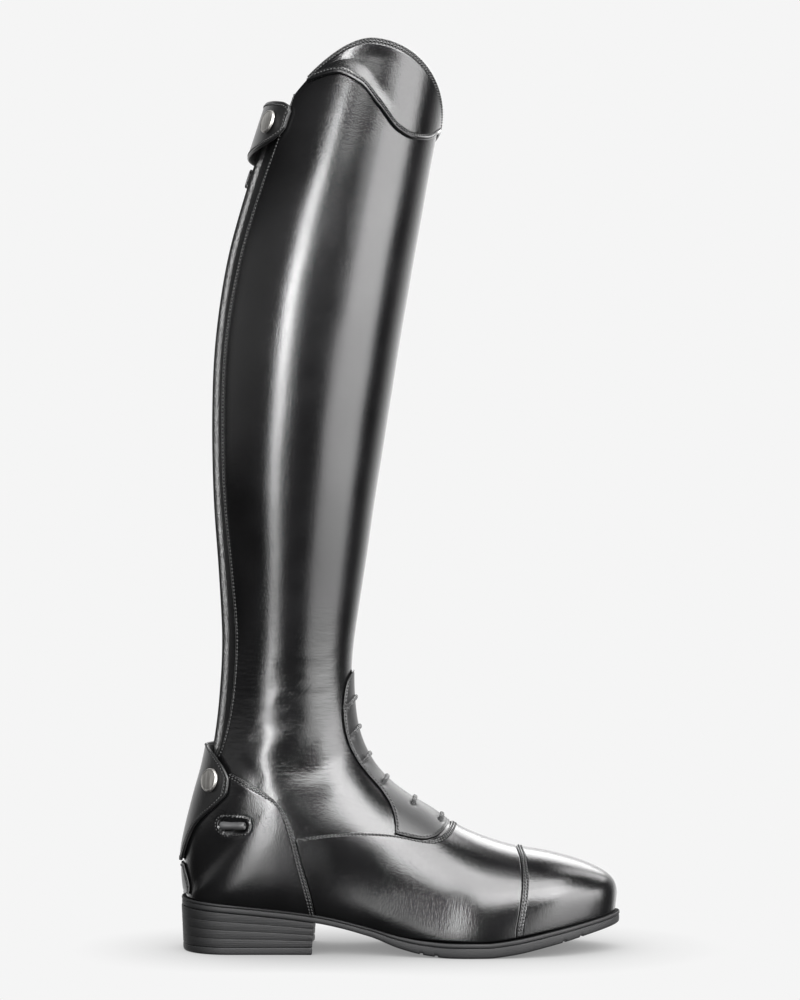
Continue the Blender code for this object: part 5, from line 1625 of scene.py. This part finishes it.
def zip_runner():
    """The slider as a rounded block, and its pull: a rim carried round between two rounded outlines."""
    seat, across, out, up = zip_frame()
    parts = [block([(seat + out * SLIDER_SIZE[1] / 2, across, out, up)], SLIDER_SIZE, 0.5, 14, 28)]
    add_piece("zip_slider_body", parts, (ZIP_METAL,), ("zip_slider",))
    around = circle(40)

    def rounded(size, middle):
        x = shaped(np.cos(around), CORNER) * (size[0] / 2)
        z = shaped(np.sin(around), CORNER) * (size[-1] / 2) + middle
        return np.stack((x, z), axis=-1)

    hinge = seat + out * (SLIDER_SIZE[1] + PULL_PLAY) + up * PULL_HINGE_UP
    middle = 0.6 - PULL_SIZE[2] / 2
    outer = rounded(PULL_SIZE, middle)
    inner = rounded(PULL_WINDOW, middle - 1.0)
    rings = []
    for share, level in PULL_RIM:
        flat = outer + (inner - outer) * share
        rings.append(hinge + flat[:, :1] * across + flat[:, 1:] * up + out * (PULL_SIZE[1] / 2) * level)
    add_piece("zip_pull_tab", [solid(rings, around=True)], (ZIP_METAL,), ("zip_pull",), "pull")


# Sole and heel

OUTSOLE_EDGE = (  # inset, share of the height
    (6.0, 1.0),
    (1.0, 1.0),
    (0.65, 0.97),
    (0.5, 0.9),
    (0.42, 0.5),
    (0.5, 0.24),
    (0.75, 0.12),
    (1.2, 0.03),
    (1.9, 0.0),
    (8.0, 0.0),
)
WELT_PROFILE = (  # inset, share of the height
    (WELT_WIDTH, 0.0),
    (1.0, 0.0),
    (0.5, 0.06),
    (0.3, 0.2),
    (0.2, 0.45),
    (0.25, 0.72),
    (0.42, 0.92),
    (0.8, 1.0),
    (1.8, 1.0),
    (2.2, 0.9),
    (2.6, 1.0),
    (WELT_WIDTH, 1.0),
)
WELT_BEND = 7  # from this row on the profile is the ledge
INSOLE_THICK = 2.4
INSOLE_PLAY = 1.8  # from the upper's inner face, at the ends and as a share of the width
INSOLE_DRAW = 0.085
INSOLE_EDGE = ((0.0, 0.0), (1.0, 0.0), (1.0, 0.7), (0.985, 0.92), (0.96, 1.0), (0.0, 1.0))  # width, height
HEEL_FILL = 20.0  # inset of the rings that close the heel's faces
LIFT_LINE = ((-0.022, 0.12), (-0.012, 0.2), (0.0, LIFT_GROOVE), (0.012, 0.2), (0.022, 0.12))  # share, inset
TOPLIFT_EDGE = (  # share of the height, inset
    (0.0, HEEL_FILL),
    (0.0, 0.9),
    (0.12, 0.35),
    (0.3, 0.1),
    (0.85, 0.1),
    (0.95, 0.2),
    (1.0, 0.5),
    (1.0, HEEL_FILL),
)


def outline_points(stations, inset):
    """The sole's outline, once round, moved in by a distance across itself."""
    outer = np.stack((stations, sole_middle(stations) - sole_half(stations)), axis=-1)
    inner = np.stack((stations, sole_middle(stations) + sole_half(stations)), axis=-1)
    line = np.concatenate((outer, inner[-2:0:-1]))
    ahead = np.roll(line, -1, axis=0) - np.roll(line, 1, axis=0)
    normal = np.stack((-ahead[:, 1], ahead[:, 0]), axis=-1)
    return line + inset * unit(normal)


GROOVE_EDGES = np.add.outer(TREAD_GROOVES, GROOVE_WIDTH / 2 * np.array((-1.1, -0.9, 0.9, 1.1))).ravel()
STATIONS = np.sort(np.concatenate((sole_stations(0.0, 46, 110, 52), GROOVE_EDGES)))
ROUND_STATIONS = np.concatenate((STATIONS, STATIONS[-2:0:-1]))


def sole_ring(inset, height):
    """One ring of the sole: its outline moved in, at a height that follows its length."""
    flat = outline_points(STATIONS, inset)
    return np.column_stack((flat, np.broadcast_to(height, len(flat))))


def middle_ring(height):
    """A ring shrunk on to the sole's middle line, which closes a face."""
    x = ROUND_STATIONS
    return np.column_stack((x, sole_middle(x), np.broadcast_to(height, len(x))))


def outsole():
    """The plate's edge profile carried round its outline; tread grooves run across underneath."""
    top, bottom = outsole_top(ROUND_STATIONS), outsole_bottom(ROUND_STATIONS)
    from_groove = np.abs(np.subtract.outer(ROUND_STATIONS, TREAD_GROOVES)).min(axis=1)
    bottom = bottom + GROOVE_DEPTH * (from_groove < GROOVE_WIDTH / 2)
    rings = [sole_ring(inset, bottom + (top - bottom) * share) for inset, share in OUTSOLE_EDGE]
    rings = [middle_ring(top)] + rings + [middle_ring(bottom)]
    add_piece("outsole_rubber", [solid(rings)], (SOLE,), ("outsole",))


def welt():
    top, bottom = welt_top(ROUND_STATIONS), outsole_top(ROUND_STATIONS) + 0.15
    rings = [sole_ring(inset, bottom + (top - bottom) * share) for inset, share in WELT_PROFILE]
    # the ledge's bands get the painted shade of the crevice, the outer face gets the sole's rubber
    ledge = np.where(np.arange(len(WELT_PROFILE)) < WELT_BEND, 0, 1)
    parts = [solid(rings, around=True, flip=True, layers=ledge)]
    add_piece("welt_strip", parts, (SOLE, WELT_LEDGE_PAINTED_SHADE), ("welt",))


def insole():
    """Footbed inside the upper: the sole's outline drawn in, with a rounded top edge."""
    inset = FEATHER_INSET + WALL + INSOLE_PLAY
    x = sole_stations(inset, 24, 60, 28)
    half = sole_half(x, inset) * (FEATHER_SHARE - INSOLE_DRAW)
    x, half = np.concatenate((x, x[-2:0:-1])), np.concatenate((-half, half[-2:0:-1]))
    low = welt_top(x) + GAP
    rings = [
        np.column_stack((x, sole_middle(x) + half * wide, low + INSOLE_THICK * high))
        for wide, high in INSOLE_EDGE
    ]
    add_piece("insole_leather", [solid(rings, flip=True)], (INSOLE,), ("insole",))


def heel_outline():
    """Outline of the heel seat, once round: the sole's outline and the curved breast."""
    arc = HEEL_ROUND * SOLE_LENGTH * (1 - np.cos(np.linspace(0.0, math.pi / 2, 44)))
    x = np.concatenate((arc, np.linspace(arc[-1], HEEL_LENGTH, 26)[1:]))
    half = np.maximum(sole_half(x) - WELT_LEDGE, 0.0)
    outer = np.stack((x, sole_middle(x) - half), axis=-1)
    inner = np.stack((x, sole_middle(x) + half), axis=-1)
    across = np.linspace(1.0, -1.0, 34)[1:-1]
    breast_x = HEEL_LENGTH - BREAST_CURVE * (1 - across**2)
    breast = np.stack((breast_x, sole_middle(x[-1]) + across * half[-1]), axis=-1)
    return np.concatenate((outer[::-1], inner[1:], breast))


HEEL_LINE = heel_outline()


def heel_ring(share, inset, foot, seat_gap):
    """Ring of the heel at a share of its height, drawn in towards its middle by its taper and an inset."""
    centre = np.array((HEEL_LENGTH / 2, 0.0))
    size = HEEL_TAPER + (1 - HEEL_TAPER) * share - inset / (HEEL_LENGTH / 2)
    flat = centre + (HEEL_LINE - centre) * size
    seat = outsole_bottom(flat[:, 0]) - seat_gap
    return np.column_stack((flat, foot + (seat - foot) * share))


def capped(rings):
    """Rings with both ends closed by a ring shrunk to its middle."""
    ends = [np.repeat(ring.mean(axis=0)[None], len(ring), axis=0) for ring in (rings[0], rings[-1])]
    return ends[:1] + rings + ends[1:]


def heel():
    """Lifts with a line pressed in between each two, and the rubber piece under them."""
    levels = [(0.0, HEEL_FILL), (0.0, 0.5), (0.008, 0.25), (0.025, 0.12)]
    for lift in range(1, LIFT_COUNT):
        levels += [(lift / LIFT_COUNT + step, inset) for step, inset in LIFT_LINE]
    levels += [(0.975, 0.12), (0.992, 0.25), (1.0, 0.5), (1.0, HEEL_FILL)]
    rings = [heel_ring(share, inset, TOPLIFT_THICK + 0.15, 0.2) for share, inset in levels]
    add_piece("heel_lifts", [solid(capped(rings))], (HEEL,), ("heel_stack",))
    rings = [heel_ring(0.0, inset, share * TOPLIFT_THICK, 0.0) for share, inset in TOPLIFT_EDGE]
    add_piece("heel_foot_rubber", [solid(capped(rings))], (SOLE,), ("heel_toplift",))


leg()
toe_cap()
vamp()
counter()
panel()
laces()
cuff()
back_strips()
zip_chain()
heel_flap()
top_flap()
heel_patch()
snap("top_snap_cap", TOP_SNAP, TOP_SNAP_LIFT, "top_snap")
snap("heel_snap_cap", HEEL_SNAP, HEEL_FLAP_LIFT + FLAP_THICK + 2 * GAP, "heel_snap")
spur_rests()
zip_runner()
outsole()
welt()
insole()
heel()
add_piece("seam_threads", STITCHES, (THREAD,), ())


# Floor, light and camera

PALE = 0.913
FLOOR_REACH = 0.07  # painted contact shadow: the floor darkens this near to the boot, down to this share
FLOOR_SHADOW_DARK = 0.25
BACK_RISE = (0.35, 0.85)  # how far to the back the surroundings turn from dim to white
BACK_LIGHT = (0.03, 1.4)
CAMERA_PLACE = (0.0, -1.8, 0.2775)
CAMERA_LENS = 104.5
CAMERA_SENSOR = 36.0


def floor():
    """A wide level sheet as pale as the background, with a painted contact shadow where the boot stands close
    to it.
    """
    mesh = bpy.data.meshes.new("floor")
    mesh.from_pydata([(-40, -9, 0), (40, -9, 0), (40, 90, 0), (-40, 90, 0)], [], [(0, 1, 2, 3)])
    ground = bpy.data.objects.new("floor", mesh)
    bpy.context.scene.collection.objects.link(ground)
    look, tree, shader = start_look("pale_floor", roughness=1.0, specular=0.0)[:3]
    shader.inputs["Base Color"].default_value = (0.0, 0.0, 0.0, 1.0)
    shader.inputs["Emission Strength"].default_value = 1.0
    # painted shadow: ambient occlusion darkens the glowing floor near the boot in place of a cast shadow
    near = node(tree, "ShaderNodeAmbientOcclusion", {"Distance": FLOOR_REACH}, samples=16)
    values = {"Value": near.outputs["AO"], "To Min": FLOOR_SHADOW_DARK * PALE, "To Max": PALE}
    shade = node(tree, "ShaderNodeMapRange", values)
    tree.links.new(shade.outputs["Result"], shader.inputs["Emission Color"])
    mesh.materials.append(look)
    ground.visible_diffuse = False
    ground.visible_glossy = False
    ground.visible_shadow = False


LIGHT_CENTRE = Vector((0.0, 0.0, 0.28))
LIGHT_DISTANCE = 2.2
LIGHTS = (  # name, azimuth towards the toe, elevation, width and height in degrees, brightness
    ("strip_high", -17.9, 10.0, 12.0, 24.0, 30.0),
    ("strip_middle", -17.9, -8.0, 12.0, 12.0, 14.0),
    ("strip_low", -18.6, -20.0, 14.0, 12.0, 5.5),
    ("right_edge", 41.0, 16.0, 16.0, 12.0, 14.0),
    ("right_high", 62.0, 16.0, 26.0, 12.0, 8.5),
    ("right_middle", 65.0, 4.0, 44.0, 12.0, 9.5),
    ("right_low", 61.0, -8.0, 50.0, 12.0, 6.2),
    ("right_foot", 58.0, -20.0, 46.0, 12.0, 3.8),
    ("front_top", 33.0, 29.0, 56.0, 18.0, 14.0),
    ("front_high", 24.0, 50.0, 60.0, 26.0, 11.0),
    ("over_head", 0.0, 72.0, 34.0, 26.0, 5.0),
    ("behind_toe", 120.0, 38.0, 20.0, 36.0, 5.5),
    ("behind_leg", 160.0, 30.0, 34.0, 26.0, 5.2),
    ("left_fill", -66.0, 12.0, 72.0, 26.0, 0.5),
)


def area_light(name, azimuth, elevation, width, height, radiance):
    """A flat light that faces the boot and fills a part of its surroundings; its size gives its power."""
    turned, raised = math.radians(azimuth), math.radians(elevation)
    level = math.cos(raised)
    away = Vector((math.sin(turned) * level, -math.cos(turned) * level, math.sin(raised)))
    light = bpy.data.lights.new(name, "AREA")
    light.shape = "RECTANGLE"
    light.size = 2 * LIGHT_DISTANCE * math.tan(math.radians(width / 2))
    light.size_y = 2 * LIGHT_DISTANCE * math.tan(math.radians(height / 2))
    light.energy = radiance * light.size * light.size_y * math.pi
    lamp = bpy.data.objects.new(name, light)
    lamp.location = LIGHT_CENTRE + away * LIGHT_DISTANCE
    lamp.rotation_euler = (-away).to_track_quat("-Z", "Y").to_euler()
    bpy.context.scene.collection.objects.link(lamp)


def background():
    """Pale to the camera; as light it is white behind the boot and dim in front of it."""
    world = bpy.data.worlds.new("studio")
    bpy.context.scene.world = world
    world.use_nodes = True
    tree = world.node_tree
    tree.nodes.clear()
    ray = node(tree, "ShaderNodeTexCoord").outputs["Generated"]
    along = node(tree, "ShaderNodeSeparateXYZ", {"Vector": ray}).outputs
    back = eased_range(tree, along["Y"], *BACK_RISE, *BACK_LIGHT)
    lit = node(tree, "ShaderNodeBackground", {"Color": (1.0, 1.0, 1.0, 1.0), "Strength": back})
    plain = node(tree, "ShaderNodeBackground", {"Color": (PALE, PALE, PALE, 1.0), "Strength": 1.0})
    eye = node(tree, "ShaderNodeLightPath").outputs["Is Camera Ray"]
    both = node(tree, "ShaderNodeMixShader", {0: eye, 1: lit.outputs[0], 2: plain.outputs[0]})
    node(tree, "ShaderNodeOutputWorld", {"Surface": both.outputs[0]})


def camera():
    view = bpy.data.cameras.new("camera")
    view.sensor_fit = "VERTICAL"
    view.sensor_height = CAMERA_SENSOR
    view.lens = CAMERA_LENS
    eye = bpy.data.objects.new("camera", view)
    eye.location = CAMERA_PLACE
    eye.rotation_euler = (math.pi / 2, 0.0, 0.0)
    bpy.context.scene.collection.objects.link(eye)
    bpy.context.scene.camera = eye


floor()
background()
for row in LIGHTS:
    area_light(*row)
camera()
bpy.context.scene.view_settings.view_transform = "Standard"
